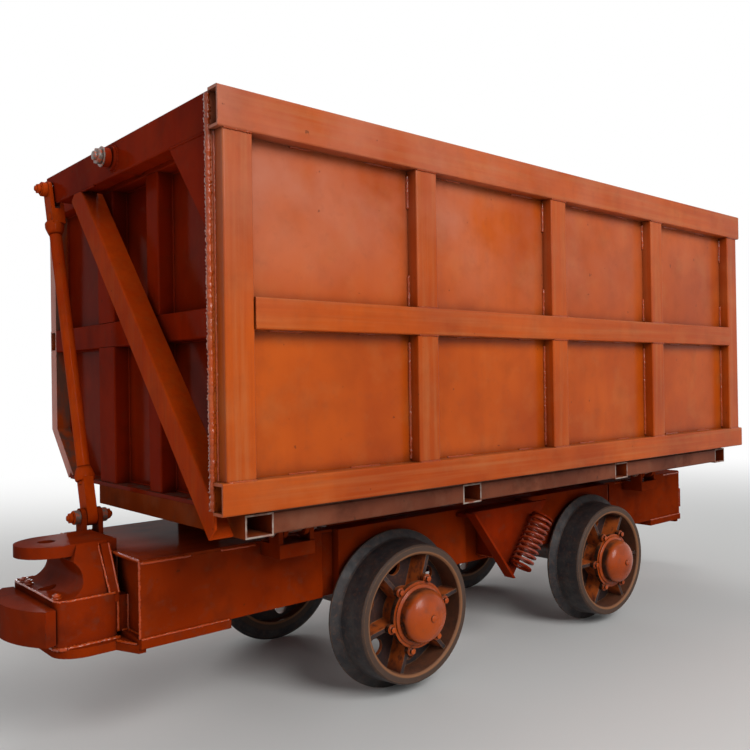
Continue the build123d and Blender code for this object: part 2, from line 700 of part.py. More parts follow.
# Ears for the pull rods and their pins
EAR_R = EYE_W / 2 - 2
EAR_REACH = EYE_T / 2 + EAR_SIDE_GAP + EAR_T
with BuildPart() as rod_ears:
    for end, sx in ENDS:
        for outer in (-1, 1):
            ear_x = (sx * ROD_X + outer * (EAR_REACH - EAR_T), sx * ROD_X + outer * EAR_REACH)
            add(disc_x(ear_x, ROD_FOOT_Y, ROD_FOOT_Z, EAR_R))
            add(box_from(ear_x, (ROD_FOOT_Y - EAR_R, ROD_FOOT_Y + EAR_R), (DECK_TOP, ROD_FOOT_Z)))
        bore_x = (sx * ROD_X - 2 * EAR_REACH, sx * ROD_X + 2 * EAR_REACH)
        add(disc_x(bore_x, ROD_FOOT_Y, ROD_FOOT_Z, ROD_PIN_R + RUNNING_FIT), mode=Mode.SUBTRACT)
write(rod_ears.part, "rod_ears")

with BuildPart() as rod_foot_pins:
    for end, sx in ENDS:
        low_x = sx * ROD_X - EAR_REACH
        high_x = sx * ROD_X + EAR_REACH
        add(disc_x((low_x - 4, high_x + 4), ROD_FOOT_Y, ROD_FOOT_Z, ROD_PIN_R))
        add(disc_x((low_x - NUT_T, low_x), ROD_FOOT_Y, ROD_FOOT_Z, NUT_R - 2))
        add(disc_x((high_x, high_x + NUT_T), ROD_FOOT_Y, ROD_FOOT_Z, NUT_R - 2))
write(rod_foot_pins.part, "rod_foot_pins")

# Box floor and walls
SLANT = WALL_T * (sqrt(2) - 1)
wall_outline = (
    (BOX_FRONT_Y, FLOOR_TOP),
    (FLOOR_FAR_Y - WALL_T * sqrt(2), FLOOR_TOP),
    (BOX_FAR_Y - WALL_T, CHAMFER_Z + SLANT),
    (BOX_FAR_Y - WALL_T, BOX_TOP),
    (BOX_FRONT_Y, BOX_TOP),
)
with BuildPart() as end_walls:
    for end, sx in ENDS:
        with BuildSketch(Plane(origin=(sx * WALL_IN_X, 0, 0), x_dir=(0, sx, 0), z_dir=(sx, 0, 0))):
            with BuildLine():
                Polyline(*[(sx * y, z) for y, z in wall_outline], close=True)
            make_face()
        extrude(amount=WALL_T)
write(end_walls.part, "end_walls")

with BuildPart() as floor_plate:
    add(box_from((-TUBE_OUT_X, TUBE_OUT_X), (BOX_FRONT_Y, FLOOR_FAR_Y), (FLOOR_BOTTOM, FLOOR_TOP)))
write(floor_plate.part, "floor_plate")

with BuildPart() as far_wall:
    with BuildSketch(Plane(origin=(-FRAME_OUT_X, 0, 0), x_dir=(0, 1, 0), z_dir=(1, 0, 0))):
        with BuildLine():
            Polyline(
                (FLOOR_FAR_Y - WALL_T * sqrt(2), FLOOR_TOP),
                (BOX_FAR_Y - WALL_T, CHAMFER_Z + SLANT),
                (BOX_FAR_Y - WALL_T, BOX_TOP),
                (BOX_FAR_Y, BOX_TOP),
                (BOX_FAR_Y, CHAMFER_Z),
                (FLOOR_FAR_Y, FLOOR_TOP),
                close=True,
            )
        make_face()
    extrude(amount=2 * FRAME_OUT_X)
write(far_wall.part, "far_wall")

# Frame channels outside the end walls
post_stretches = ((FLOOR_TOP, WALL_RAIL_Z), (WALL_RAIL_Z + CH8["height"], WALL_TOP_RAIL_Z))
with BuildPart() as wall_posts:
    for end, sx in ENDS:
        for y_low, y_high in (POST_A_Y, POST_B_Y):
            size = dict(CH8, height=y_high - y_low)
            for z_low, z_high in post_stretches:
                start = (sx * FRAME_OUT_X, y_low if sx < 0 else y_high, z_low)
                extrude(channel_section(start, (-sx, 0, 0), (0, 0, 1), size), amount=z_high - z_low)
write(wall_posts.part, "end_wall_posts")
with BuildPart() as wall_rails:
    rail_far_y = BOX_FAR_Y - WALL_T
    for end, sx in ENDS:
        for z in (WALL_RAIL_Z, WALL_TOP_RAIL_Z):
            start = (sx * FRAME_OUT_X, rail_far_y if sx < 0 else BOX_FRONT_Y, z)
            extrude(channel_section(start, (-sx, 0, 0), (0, sx, 0), CH8), amount=rail_far_y - BOX_FRONT_Y)
write(wall_rails.part, "end_wall_rails")

# Frame channels outside the far wall; the lower posts are mitred at the knee
bay = (BOX_L - 2 * POST_INSET - CH8["height"]) / BAYS
post_x = [-BOX_L / 2 + POST_INSET + CH8["height"] / 2 + i * bay for i in range(BAYS + 1)]
far_posts_x = [x * (FRAME_OUT_X - CH8["height"] / 2) / post_x[-1] for x in post_x]
with BuildPart() as far_rails:
    for z in (WALL_RAIL_Z, WALL_TOP_RAIL_Z):
        start = (FRAME_OUT_X, FAR_FACE_Y, z)
        extrude(channel_section(start, (0, -1, 0), (-1, 0, 0), CH8), amount=2 * FRAME_OUT_X)
write(far_rails.part, "far_wall_rails")


def kneed_post(x):
    """Lower far post: upright channel whose foot follows the chamfer under the load space."""
    low = (FAR_FACE_Y - CHAMFER_RISE, FLOOR_BOTTOM)
    knee = (FAR_FACE_Y, CHAMFER_Z)
    top = (FAR_FACE_Y, WALL_RAIL_Z)
    slant = CH8["depth"] / 2
    web = CH8["web"]
    web_slant = web / sqrt(2)
    side = Plane(origin=(x - CH8["height"] / 2, 0, 0), x_dir=(0, 1, 0), z_dir=(1, 0, 0))
    with BuildPart() as post:
        for shift in (0, CH8["height"] - CH8["flange"]):
            with BuildSketch(side.offset(shift)):
                with BuildLine():
                    Polyline(
                        low,
                        knee,
                        top,
                        (BOX_FAR_Y, WALL_RAIL_Z),
                        (BOX_FAR_Y, CHAMFER_Z),
                        (low[0] - slant, low[1] + slant),
                        close=True,
                    )
                make_face()
            extrude(amount=CH8["flange"])
        with BuildSketch(side):
            with BuildLine():
                Polyline(
                    low,
                    knee,
                    top,
                    (FAR_FACE_Y - web, WALL_RAIL_Z),
                    (FAR_FACE_Y - web, CHAMFER_Z + web * (sqrt(2) - 1)),
                    (low[0] - web_slant, low[1] + web_slant),
                    close=True,
                )
            make_face()
        extrude(amount=CH8["height"])
    return post.part


with BuildPart() as far_posts:
    for x in far_posts_x:
        add(kneed_post(x))
        z_low = WALL_RAIL_Z + CH8["height"]
        start = (x - CH8["height"] / 2, FAR_FACE_Y, z_low)
        extrude(channel_section(start, (0, -1, 0), (0, 0, 1), CH8), amount=WALL_TOP_RAIL_Z - z_low)
write(far_posts.part, "far_wall_posts")

# Underframe of the box
with BuildPart() as under_tubes:
    half = TUBE["width"] / 2
    centres = [-TUBE_OUT_X + half, -TUBE_MID_X, TUBE_MID_X, TUBE_OUT_X - half]
    for x in centres:
        tube_end = (x, TUBE_NEAR_Y, TUBE_BOTTOM + TUBE["height"] / 2)
        with BuildSketch(Plane(origin=tube_end, x_dir=(1, 0, 0), z_dir=(0, 1, 0))):
            Rectangle(TUBE["width"], TUBE["height"])
            Rectangle(TUBE["width"] - 2 * TUBE["wall"], TUBE["height"] - 2 * TUBE["wall"], mode=Mode.SUBTRACT)
        extrude(amount=TUBE_FAR_Y - TUBE_NEAR_Y)
write(under_tubes.part, "under_tubes")

sill = dict(height=SILL_H, depth=SILL_D, web=SILL_T, flange=SILL_T)
with BuildPart() as sills:
    for i in range(len(centres) - 1):
        x_low = centres[i] + half
        x_high = centres[i + 1] - half
        for y in (TUBE_NEAR_Y, FAR_SILL_Y):
            start = (x_low, y, FLOOR_BOTTOM - SILL_H)
            extrude(channel_section(start, (0, 1, 0), (1, 0, 0), sill), amount=x_high - x_low)
write(sills.part, "floor_sills")

# Box lugs on the hinge pins
with BuildPart() as box_lugs:
    for x in HINGE_X:
        half_gap = CRADLE_GAP / 2 - LUG_SIDE_GAP
        for outer in (-1, 1):
            near_face = x + outer * (half_gap - LUG_T)
            add(disc_x((near_face, near_face + outer * LUG_T), HINGE_Y, HINGE_Z, LUG_R))
            add(
                box_from(
                    (near_face, near_face + outer * LUG_T),
                    (HINGE_Y - LUG_R, HINGE_Y + LUG_R),
                    (HINGE_Z, FLOOR_BOTTOM),
                )
            )
        bore_x = (x - CRADLE_GAP, x + CRADLE_GAP)
        add(disc_x(bore_x, HINGE_Y, HINGE_Z, HINGE_PIN_R + RUNNING_FIT), mode=Mode.SUBTRACT)
write(box_lugs.part, "box_hinge_lugs")

# Pivot pins of the door arms on the end walls
with BuildPart() as arm_pivots:
    for end, sx in ENDS:
        root_x = sx * FRAME_OUT_X
        tip_x = sx * (ARM_FACE_X + PIVOT_PIN_REACH)
        add(disc_x((root_x, tip_x), PIVOT_Y, PIVOT_Z, PIVOT_PIN_R))
        add(disc_x((root_x, sx * (ARM_FACE_X - BAR["depth"] - 8)), PIVOT_Y, PIVOT_Z, PIVOT_BOSS_R))
        add(disc_x((tip_x - sx * 20, tip_x), PIVOT_Y, PIVOT_Z, NUT_R + 4))
write(arm_pivots.part, "arm_pivots")

# Unloading roller on a hanger under the far edge of the floor
with BuildPart() as roller_bracket:
    hanger_y = (ROLLER_Y, ROLLER_Y + ROLLER_PLATE_T)
    hanger_x = (-ROLLER_PLATE_HALF_W, ROLLER_PLATE_HALF_W)
    add(box_from(hanger_x, hanger_y, (ROLLER_Z, FLOOR_TOP - 1)))
    roller_axis = Plane(origin=(0, ROLLER_Y, ROLLER_Z), x_dir=(1, 0, 0), z_dir=(0, 1, 0))
    with BuildSketch(roller_axis):
        Circle(2 * ROLLER_PIN_R)
        Circle(ROLLER_PLATE_HALF_W * 0.6)
    extrude(amount=ROLLER_PLATE_T)
    with BuildSketch(roller_axis):
        Circle(ROLLER_PIN_R)
    extrude(amount=ROLLER_PLATE_T + 2 * ROLLER_SIDE_GAP + ROLLER_W + NUT_T)
    with BuildSketch(roller_axis.offset(ROLLER_PLATE_T + 2 * ROLLER_SIDE_GAP + ROLLER_W)):
        Circle(1.6 * ROLLER_PIN_R)
    extrude(amount=NUT_T)
    for sx in (-1, 1):
        knee_x = min(sx * ROLLER_PLATE_HALF_W, sx * (ROLLER_PLATE_HALF_W - GUSSET_T))
        with BuildSketch(Plane(origin=(knee_x, 0, 0), x_dir=(0, 1, 0), z_dir=(1, 0, 0))):
            with BuildLine():
                Polyline(
                    (ROLLER_Y, ROLLER_Z + 20),
                    (ROLLER_Y, FLOOR_BOTTOM),
                    (ROLLER_Y - ROLLER_DROP, FLOOR_BOTTOM),
                    close=True,
                )
            make_face()
        extrude(amount=GUSSET_T)
write(roller_bracket.part, "roller_bracket")

with BuildPart() as roller:
    with BuildSketch(roller_axis.offset(ROLLER_PLATE_T + ROLLER_SIDE_GAP)):
        Circle(ROLLER_R)
        Circle(ROLLER_PIN_R + RUNNING_FIT, mode=Mode.SUBTRACT)
    extrude(amount=ROLLER_W)
write(roller.part, "unloading_roller")

# Side door
with BuildPart() as door_plate:
    add(
        box_from(
            (DOOR_PLATE_INSET - BOX_L / 2, BOX_L / 2 - DOOR_PLATE_INSET),
            (DOOR_PLATE_Y, DOOR_BACK_Y),
            (DOOR_BOTTOM + DOOR_PLATE_SHORT, DOOR_TOP - DOOR_PLATE_SHORT),
        )
    )
write(door_plate.part, "door_plate")

with BuildPart() as door_rails:
    top_z = DOOR_TOP - CH10["height"]
    extrude(channel_section((-BOX_L / 2, DOOR_FACE_Y, top_z), (0, 1, 0), (1, 0, 0), CH10), amount=BOX_L)
    extrude(channel_section((-BOX_L / 2, DOOR_FACE_Y, DOOR_BOTTOM), (0, 1, 0), (1, 0, 0), CH8), amount=BOX_L)
    mid_start = post_x[0] + CH8["height"] / 2
    extrude(
        channel_section((mid_start, DOOR_FACE_Y, MID_RAIL_Z), (0, 1, 0), (1, 0, 0), CH8),
        amount=-2 * mid_start,
    )
write(door_rails.part, "door_rails")

with BuildPart() as door_posts:
    low_z = DOOR_BOTTOM + CH8["height"]
    post_size = dict(CH8, depth=CH8["depth"] - POST_RECESS)
    for i, x in enumerate(post_x):
        if i in (0, BAYS):
            stretches = ((low_z, top_z),)
        else:
            stretches = ((low_z, MID_RAIL_Z), (MID_RAIL_Z + CH8["height"], top_z))
        for z_low, z_high in stretches:
            start = (x + CH8["height"] / 2, DOOR_FACE_Y + POST_RECESS, z_low)
            extrude(channel_section(start, (0, 1, 0), (0, 0, 1), post_size), amount=z_high - z_low)
write(door_posts.part, "door_posts")

# Door arms: top bar, brace and gusset in one plane outside the end wall
def arm_bar(sx):
    """Top bar; its flanges end short of the pull rod's fork."""
    start = (sx * ARM_FACE_X, BAR_FAR_Y if sx < 0 else DOOR_BACK_Y, BAR_Z)
    deep = (sx * (ARM_FACE_X - 2 * BAR["depth"]), sx * (ARM_FACE_X + PIVOT_PIN_REACH))
    with BuildPart() as bar:
        extrude(channel_section(start, (-sx, 0, 0), (0, sx, 0), BAR), amount=BAR_FAR_Y - DOOR_BACK_Y)
        add(disc_x((sx * ARM_FACE_X, sx * (ARM_FACE_X - BAR["depth"])), PIVOT_Y, PIVOT_Z, PIVOT_BOSS_R + 8))
        add(disc_x((sx * ARM_FACE_X, sx * (ARM_FACE_X + 10)), PIVOT_Y, PIVOT_Z, PIVOT_BOSS_R))
        add(disc_x(deep, PIVOT_Y, PIVOT_Z, PIVOT_PIN_R + RUNNING_FIT), mode=Mode.SUBTRACT)
        add(disc_x(deep, ROD_PIN_Y, PIVOT_Z, ROD_PIN_R + ROD_PIN_PLAY), mode=Mode.SUBTRACT)
        add(
            box_from(
                (sx * (ARM_FACE_X - BAR["web"]), sx * (ARM_FACE_X - BAR["depth"] - 1)),
                (ROD_PIN_Y - FORK_CUT, BAR_FAR_Y + 1),
                (BAR_Z - 1, BAR_Z + BAR["height"] + 1),
            ),
            mode=Mode.SUBTRACT,
        )
    return bar.part


def arm_brace(sx):
    """Diagonal channel from the bar's underside down to the door."""
    high = Vector(0, BRACE_TOP_Y, BAR_Z)
    low = Vector(0, DOOR_BACK_Y, BRACE_LOW_Z)
    run = (high - low).normalized()
    over = BRACE["height"]
    across = Vector(0, -run.Z, run.Y) if sx < 0 else Vector(0, run.Z, -run.Y)
    if sx < 0:
        foot = Vector(-ARM_FACE_X, 0, 0) + low - run * over - across * over / 2
        toward = run
    else:
        foot = Vector(ARM_FACE_X, 0, 0) + high + run * over - across * over / 2
        toward = run * -1
    with BuildPart() as brace:
        extrude(channel_section(foot, (-sx, 0, 0), toward, BRACE), amount=(high - low).length + 2 * over)
        split(bisect_by=Plane(origin=(0, 0, BAR_Z), z_dir=(0, 0, 1)), keep=Keep.BOTTOM)
        split(bisect_by=Plane(origin=(0, DOOR_BACK_Y, 0), z_dir=(0, 1, 0)), keep=Keep.TOP)
    return brace.part


with BuildPart() as arm_bars:
    add(arm_bar(-1))
    add(arm_bar(1))
write(arm_bars.part, "door_arm_bars")

with BuildPart() as arm_braces:
    add(arm_brace(-1))
    add(arm_brace(1))
write(arm_braces.part, "door_arm_braces")

with BuildPart() as gussets:
    for end, sx in ENDS:
        face_x = sx * ARM_FACE_X
        with BuildSketch(Plane(origin=(face_x, 0, 0), x_dir=(0, -sx, 0), z_dir=(-sx, 0, 0))):
            with BuildLine():
                Polyline(
                    (-sx * DOOR_BACK_Y, BAR_Z),
                    (-sx * DOOR_BACK_Y, BAR_Z - GUSSET_H),
                    (-sx * (DOOR_BACK_Y + 12), BAR_Z - GUSSET_H),
                    (-sx * (DOOR_BACK_Y + GUSSET_W), BAR_Z),
                    close=True,
                )
            make_face()
        extrude(amount=GUSSET_T)
write(gussets.part, "door_arm_gussets")

# Pull rods between the chassis ears and the arms
for end, sx in ENDS:
    rod_x = sx * ROD_X
    foot = Vector(rod_x, ROD_FOOT_Y, ROD_FOOT_Z)
    head_pin = Vector(rod_x, ROD_PIN_Y, PIVOT_Z)
    run = (head_pin - foot).normalized()
    with BuildPart() as rod:
        plane = Plane(origin=foot, x_dir=(1, 0, 0), z_dir=run)
        rod_len = (head_pin - foot).length
        with BuildSketch(plane.offset(EYE_L - ROD_R)):
            Circle(ROD_R)
        extrude(amount=rod_len - EYE_L - FORK_L + 3 * ROD_R)
        # flat eye at the foot
        with BuildSketch(plane):
            Rectangle(EYE_T, EYE_W)
        extrude(amount=EYE_L)
        add(disc_x((rod_x - EYE_T / 2, rod_x + EYE_T / 2), ROD_FOOT_Y, ROD_FOOT_Z, EYE_W / 2))
        eye_x = (rod_x - EYE_T, rod_x + EYE_T)
        add(disc_x(eye_x, ROD_FOOT_Y, ROD_FOOT_Z, ROD_PIN_R + RUNNING_FIT), mode=Mode.SUBTRACT)
        # fork round the arm's web at the head
        fork_gap = BAR["web"] / 2 + FORK_PLAY
        web_mid = sx * (ARM_FACE_X - BAR["web"] / 2)
        yoke = plane.offset(rod_len - FORK_L)
        with BuildSketch(yoke):
            with Locations((web_mid - rod_x, 0)):
                Rectangle(2 * (fork_gap + FORK_T), FORK_W)
        extrude(amount=FORK_CROWN)
        reach = fork_gap + FORK_T
        for outer in (-1, 1):
            with BuildSketch(yoke):
                with Locations((web_mid - rod_x + outer * (fork_gap + FORK_T / 2), 0)):
                    Rectangle(FORK_T, FORK_W)
            extrude(amount=FORK_L)
            cheek_x = (web_mid + outer * fork_gap, web_mid + outer * reach)
            add(disc_x(cheek_x, ROD_PIN_Y, PIVOT_Z, FORK_W / 2))
            add(disc_x((cheek_x[1], cheek_x[1] + outer * NUT_T), ROD_PIN_Y, PIVOT_Z, NUT_R))
        add(disc_x((web_mid - reach - NUT_T, web_mid + reach + NUT_T), ROD_PIN_Y, PIVOT_Z, ROD_PIN_R))
    write(rod.part, f"pull_rod_{end}")
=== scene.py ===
import math
import random

import bmesh
import bpy
from mathutils import Matrix, Vector


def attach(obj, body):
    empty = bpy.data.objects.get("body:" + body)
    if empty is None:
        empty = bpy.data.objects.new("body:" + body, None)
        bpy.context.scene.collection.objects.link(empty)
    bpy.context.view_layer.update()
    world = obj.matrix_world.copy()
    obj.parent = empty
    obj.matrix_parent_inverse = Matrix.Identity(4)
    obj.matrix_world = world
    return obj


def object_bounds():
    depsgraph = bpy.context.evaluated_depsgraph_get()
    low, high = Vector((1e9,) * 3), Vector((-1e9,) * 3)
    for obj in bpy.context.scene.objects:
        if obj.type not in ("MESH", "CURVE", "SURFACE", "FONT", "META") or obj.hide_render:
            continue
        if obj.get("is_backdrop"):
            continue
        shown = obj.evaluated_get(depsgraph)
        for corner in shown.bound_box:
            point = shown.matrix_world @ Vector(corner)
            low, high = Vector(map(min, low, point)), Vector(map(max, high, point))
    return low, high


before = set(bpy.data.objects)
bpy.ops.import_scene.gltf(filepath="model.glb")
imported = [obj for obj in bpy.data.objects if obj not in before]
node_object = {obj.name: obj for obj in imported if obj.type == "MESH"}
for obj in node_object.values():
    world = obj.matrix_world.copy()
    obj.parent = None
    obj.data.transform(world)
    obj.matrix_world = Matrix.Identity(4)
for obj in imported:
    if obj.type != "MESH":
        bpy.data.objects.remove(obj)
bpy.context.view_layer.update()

MM = 0.001
# signs that mirror a place to both ends or both sides of the cart
BOTH = (-1, 1)
# the axles' places, in millimetres
AXLE_X, AXLE_Z = 515, 253


# Camera at the photograph's viewing angle
CAMERA_AT = (-2.211, -2.457, 0.995)
CAMERA_RIGHT = Vector((0.71335, -0.70064, -0.01559))
CAMERA_UP = Vector((0.00834, -0.01375, 0.99987))
CAMERA_AHEAD = Vector((0.70076, 0.71339, 0.00396))

camera_data = bpy.data.cameras.new("camera")
camera_data.sensor_width = 36.0
camera_data.lens = 39.48
camera_data.shift_x = -0.127
camera_data.clip_end = 200.0
camera = bpy.data.objects.new("camera", camera_data)
bpy.context.scene.collection.objects.link(camera)
camera.matrix_world = Matrix.Translation(CAMERA_AT) @ Matrix(
    (CAMERA_RIGHT, CAMERA_UP, -CAMERA_AHEAD)
).transposed().to_4x4()
bpy.context.scene.camera = camera
bpy.context.scene.view_settings.view_transform = "Standard"


# Materials
def linear(hex_colour):
    """sRGB hex value as a linear colour with alpha."""
    channels = [int(hex_colour[i : i + 2], 16) / 255 for i in (1, 3, 5)]
    return tuple(c / 12.92 if c <= 0.04045 else ((c + 0.055) / 1.055) ** 2.4 for c in channels) + (1.0,)


def put(tree, kind, inputs=None, **settings):
    """Adds a node with its settings; an input is a value or another node's output."""
    node = tree.nodes.new(kind)
    for key, value in settings.items():
        setattr(node, key, value)
    for key, value in (inputs or {}).items():
        if isinstance(value, bpy.types.NodeSocket):
            tree.links.new(value, node.inputs[key])
        else:
            node.inputs[key].default_value = value
    return node


def start_material(name, roughness, specular, coat=0.0):
    """A material with its shader on the surface and nothing else yet."""
    material = bpy.data.materials.new(name)
    material.use_nodes = True
    tree = material.node_tree
    tree.nodes.clear()
    shader = put(
        tree,
        "ShaderNodeBsdfPrincipled",
        {
            "Roughness": roughness,
            "Coat Weight": coat,
            "Coat Roughness": 0.14,
            "Specular IOR Level": specular,
        },
    )
    put(tree, "ShaderNodeOutputMaterial", {"Surface": shader.outputs["BSDF"]})
    return material, tree, shader


def blotches(tree, place, size_mm, start, full, detail=4.0, stretch=(1.0, 1.0, 1.0), seed=0.0, amount=1.0):
    """Cloudy patches of size_mm, from 0 where the cloud is under start to amount where it is over full."""
    moved = put(
        tree, "ShaderNodeMapping", {"Vector": place, "Scale": stretch, "Location": (seed, -seed, seed)}
    )
    cloud = put(
        tree,
        "ShaderNodeTexNoise",
        {"Vector": moved.outputs["Vector"], "Scale": 1000.0 / size_mm, "Detail": detail, "Roughness": 0.55},
    )
    return put(
        tree,
        "ShaderNodeMapRange",
        {"Value": cloud.outputs["Fac"], "From Min": start, "From Max": full, "To Max": amount},
    ).outputs["Result"]


def sharp_edges(tree, radius_mm):
    """1 along sharp edges, where a rounded normal leaves the face's own."""
    rounded = put(tree, "ShaderNodeBevel", {"Radius": radius_mm * MM}, samples=4)
    flat = put(tree, "ShaderNodeNewGeometry")
    agree = put(
        tree,
        "ShaderNodeVectorMath",
        {0: rounded.outputs["Normal"], 1: flat.outputs["Normal"]},
        operation="DOT_PRODUCT",
    )
    return put(
        tree, "ShaderNodeMapRange", {"Value": agree.outputs["Value"], "From Min": 0.98, "From Max": 0.75}
    ).outputs["Result"]


def corner_shade_and_dirt(tree, reach_mm, amount, open_from=0.80, shut_from=0.25):
    """Painted shade and dirt: rises to amount in corners and under ledges, where little light reaches and
    dirt stays.
    """
    open_sky = put(tree, "ShaderNodeAmbientOcclusion", {"Distance": reach_mm * MM}, samples=6)
    return put(
        tree,
        "ShaderNodeMapRange",
        {"Value": open_sky.outputs["AO"], "From Min": open_from, "From Max": shut_from, "To Max": amount},
    ).outputs["Result"]


def looking_up(tree, amount):
    """Rises to amount on faces that look up, where dust settles."""
    axes = put(tree, "ShaderNodeSeparateXYZ", {"Vector": put(tree, "ShaderNodeTexCoord").outputs["Normal"]})
    return put(
        tree,
        "ShaderNodeMapRange",
        {"Value": axes.outputs["Z"], "From Min": 0.5, "From Max": 0.95, "To Max": amount},
    ).outputs["Result"]


def squarely(tree, axis):
    """1 on faces that look straight along the axis, either way, and 0 on those that run along it."""
    axes = put(tree, "ShaderNodeSeparateXYZ", {"Vector": put(tree, "ShaderNodeTexCoord").outputs["Normal"]})
    return put(tree, "ShaderNodeMath", {0: axes.outputs[axis]}, operation="ABSOLUTE").outputs[0]


def overlap(tree, one, other):
    """Where two masks meet."""
    return put(tree, "ShaderNodeMath", {0: one, 1: other}, operation="MULTIPLY", use_clamp=True).outputs[0]


def painted(tree, shader, base, layers):
    """Lays colours over the base, first to last; each layer is a mask and a hex colour."""
    colour = linear(base)
    for mask, over in layers:
        colour = put(
            tree, "ShaderNodeMix", {"Factor": mask, "A": colour, "B": linear(over)}, data_type="RGBA"
        ).outputs["Result"]
    tree.links.new(colour, shader.inputs["Base Color"])


def scraped_inside(tree, place, amount):
    """Rises to amount in long scratches on the plates' faces toward the load."""
    # a face is inside where it looks at a point 1.7 m up, in the middle of the box
    from_middle = put(tree, "ShaderNodeMapping", {"Vector": place, "Location": (0.0, 0.0, -1.7)})
    faces_in = put(
        tree,
        "ShaderNodeVectorMath",
        {0: from_middle.outputs["Vector"], 1: put(tree, "ShaderNodeTexCoord").outputs["Normal"]},
        operation="DOT_PRODUCT",
    ).outputs["Value"]
    inward = put(tree, "ShaderNodeMath", {0: faces_in, 1: -0.35}, operation="LESS_THAN").outputs[0]
    scratches = blotches(
        tree, place, 34, 0.40, 0.62, detail=8.0, stretch=(1.0, 1.0, 0.22), seed=14.2, amount=amount
    )
    return overlap(tree, inward, scratches)


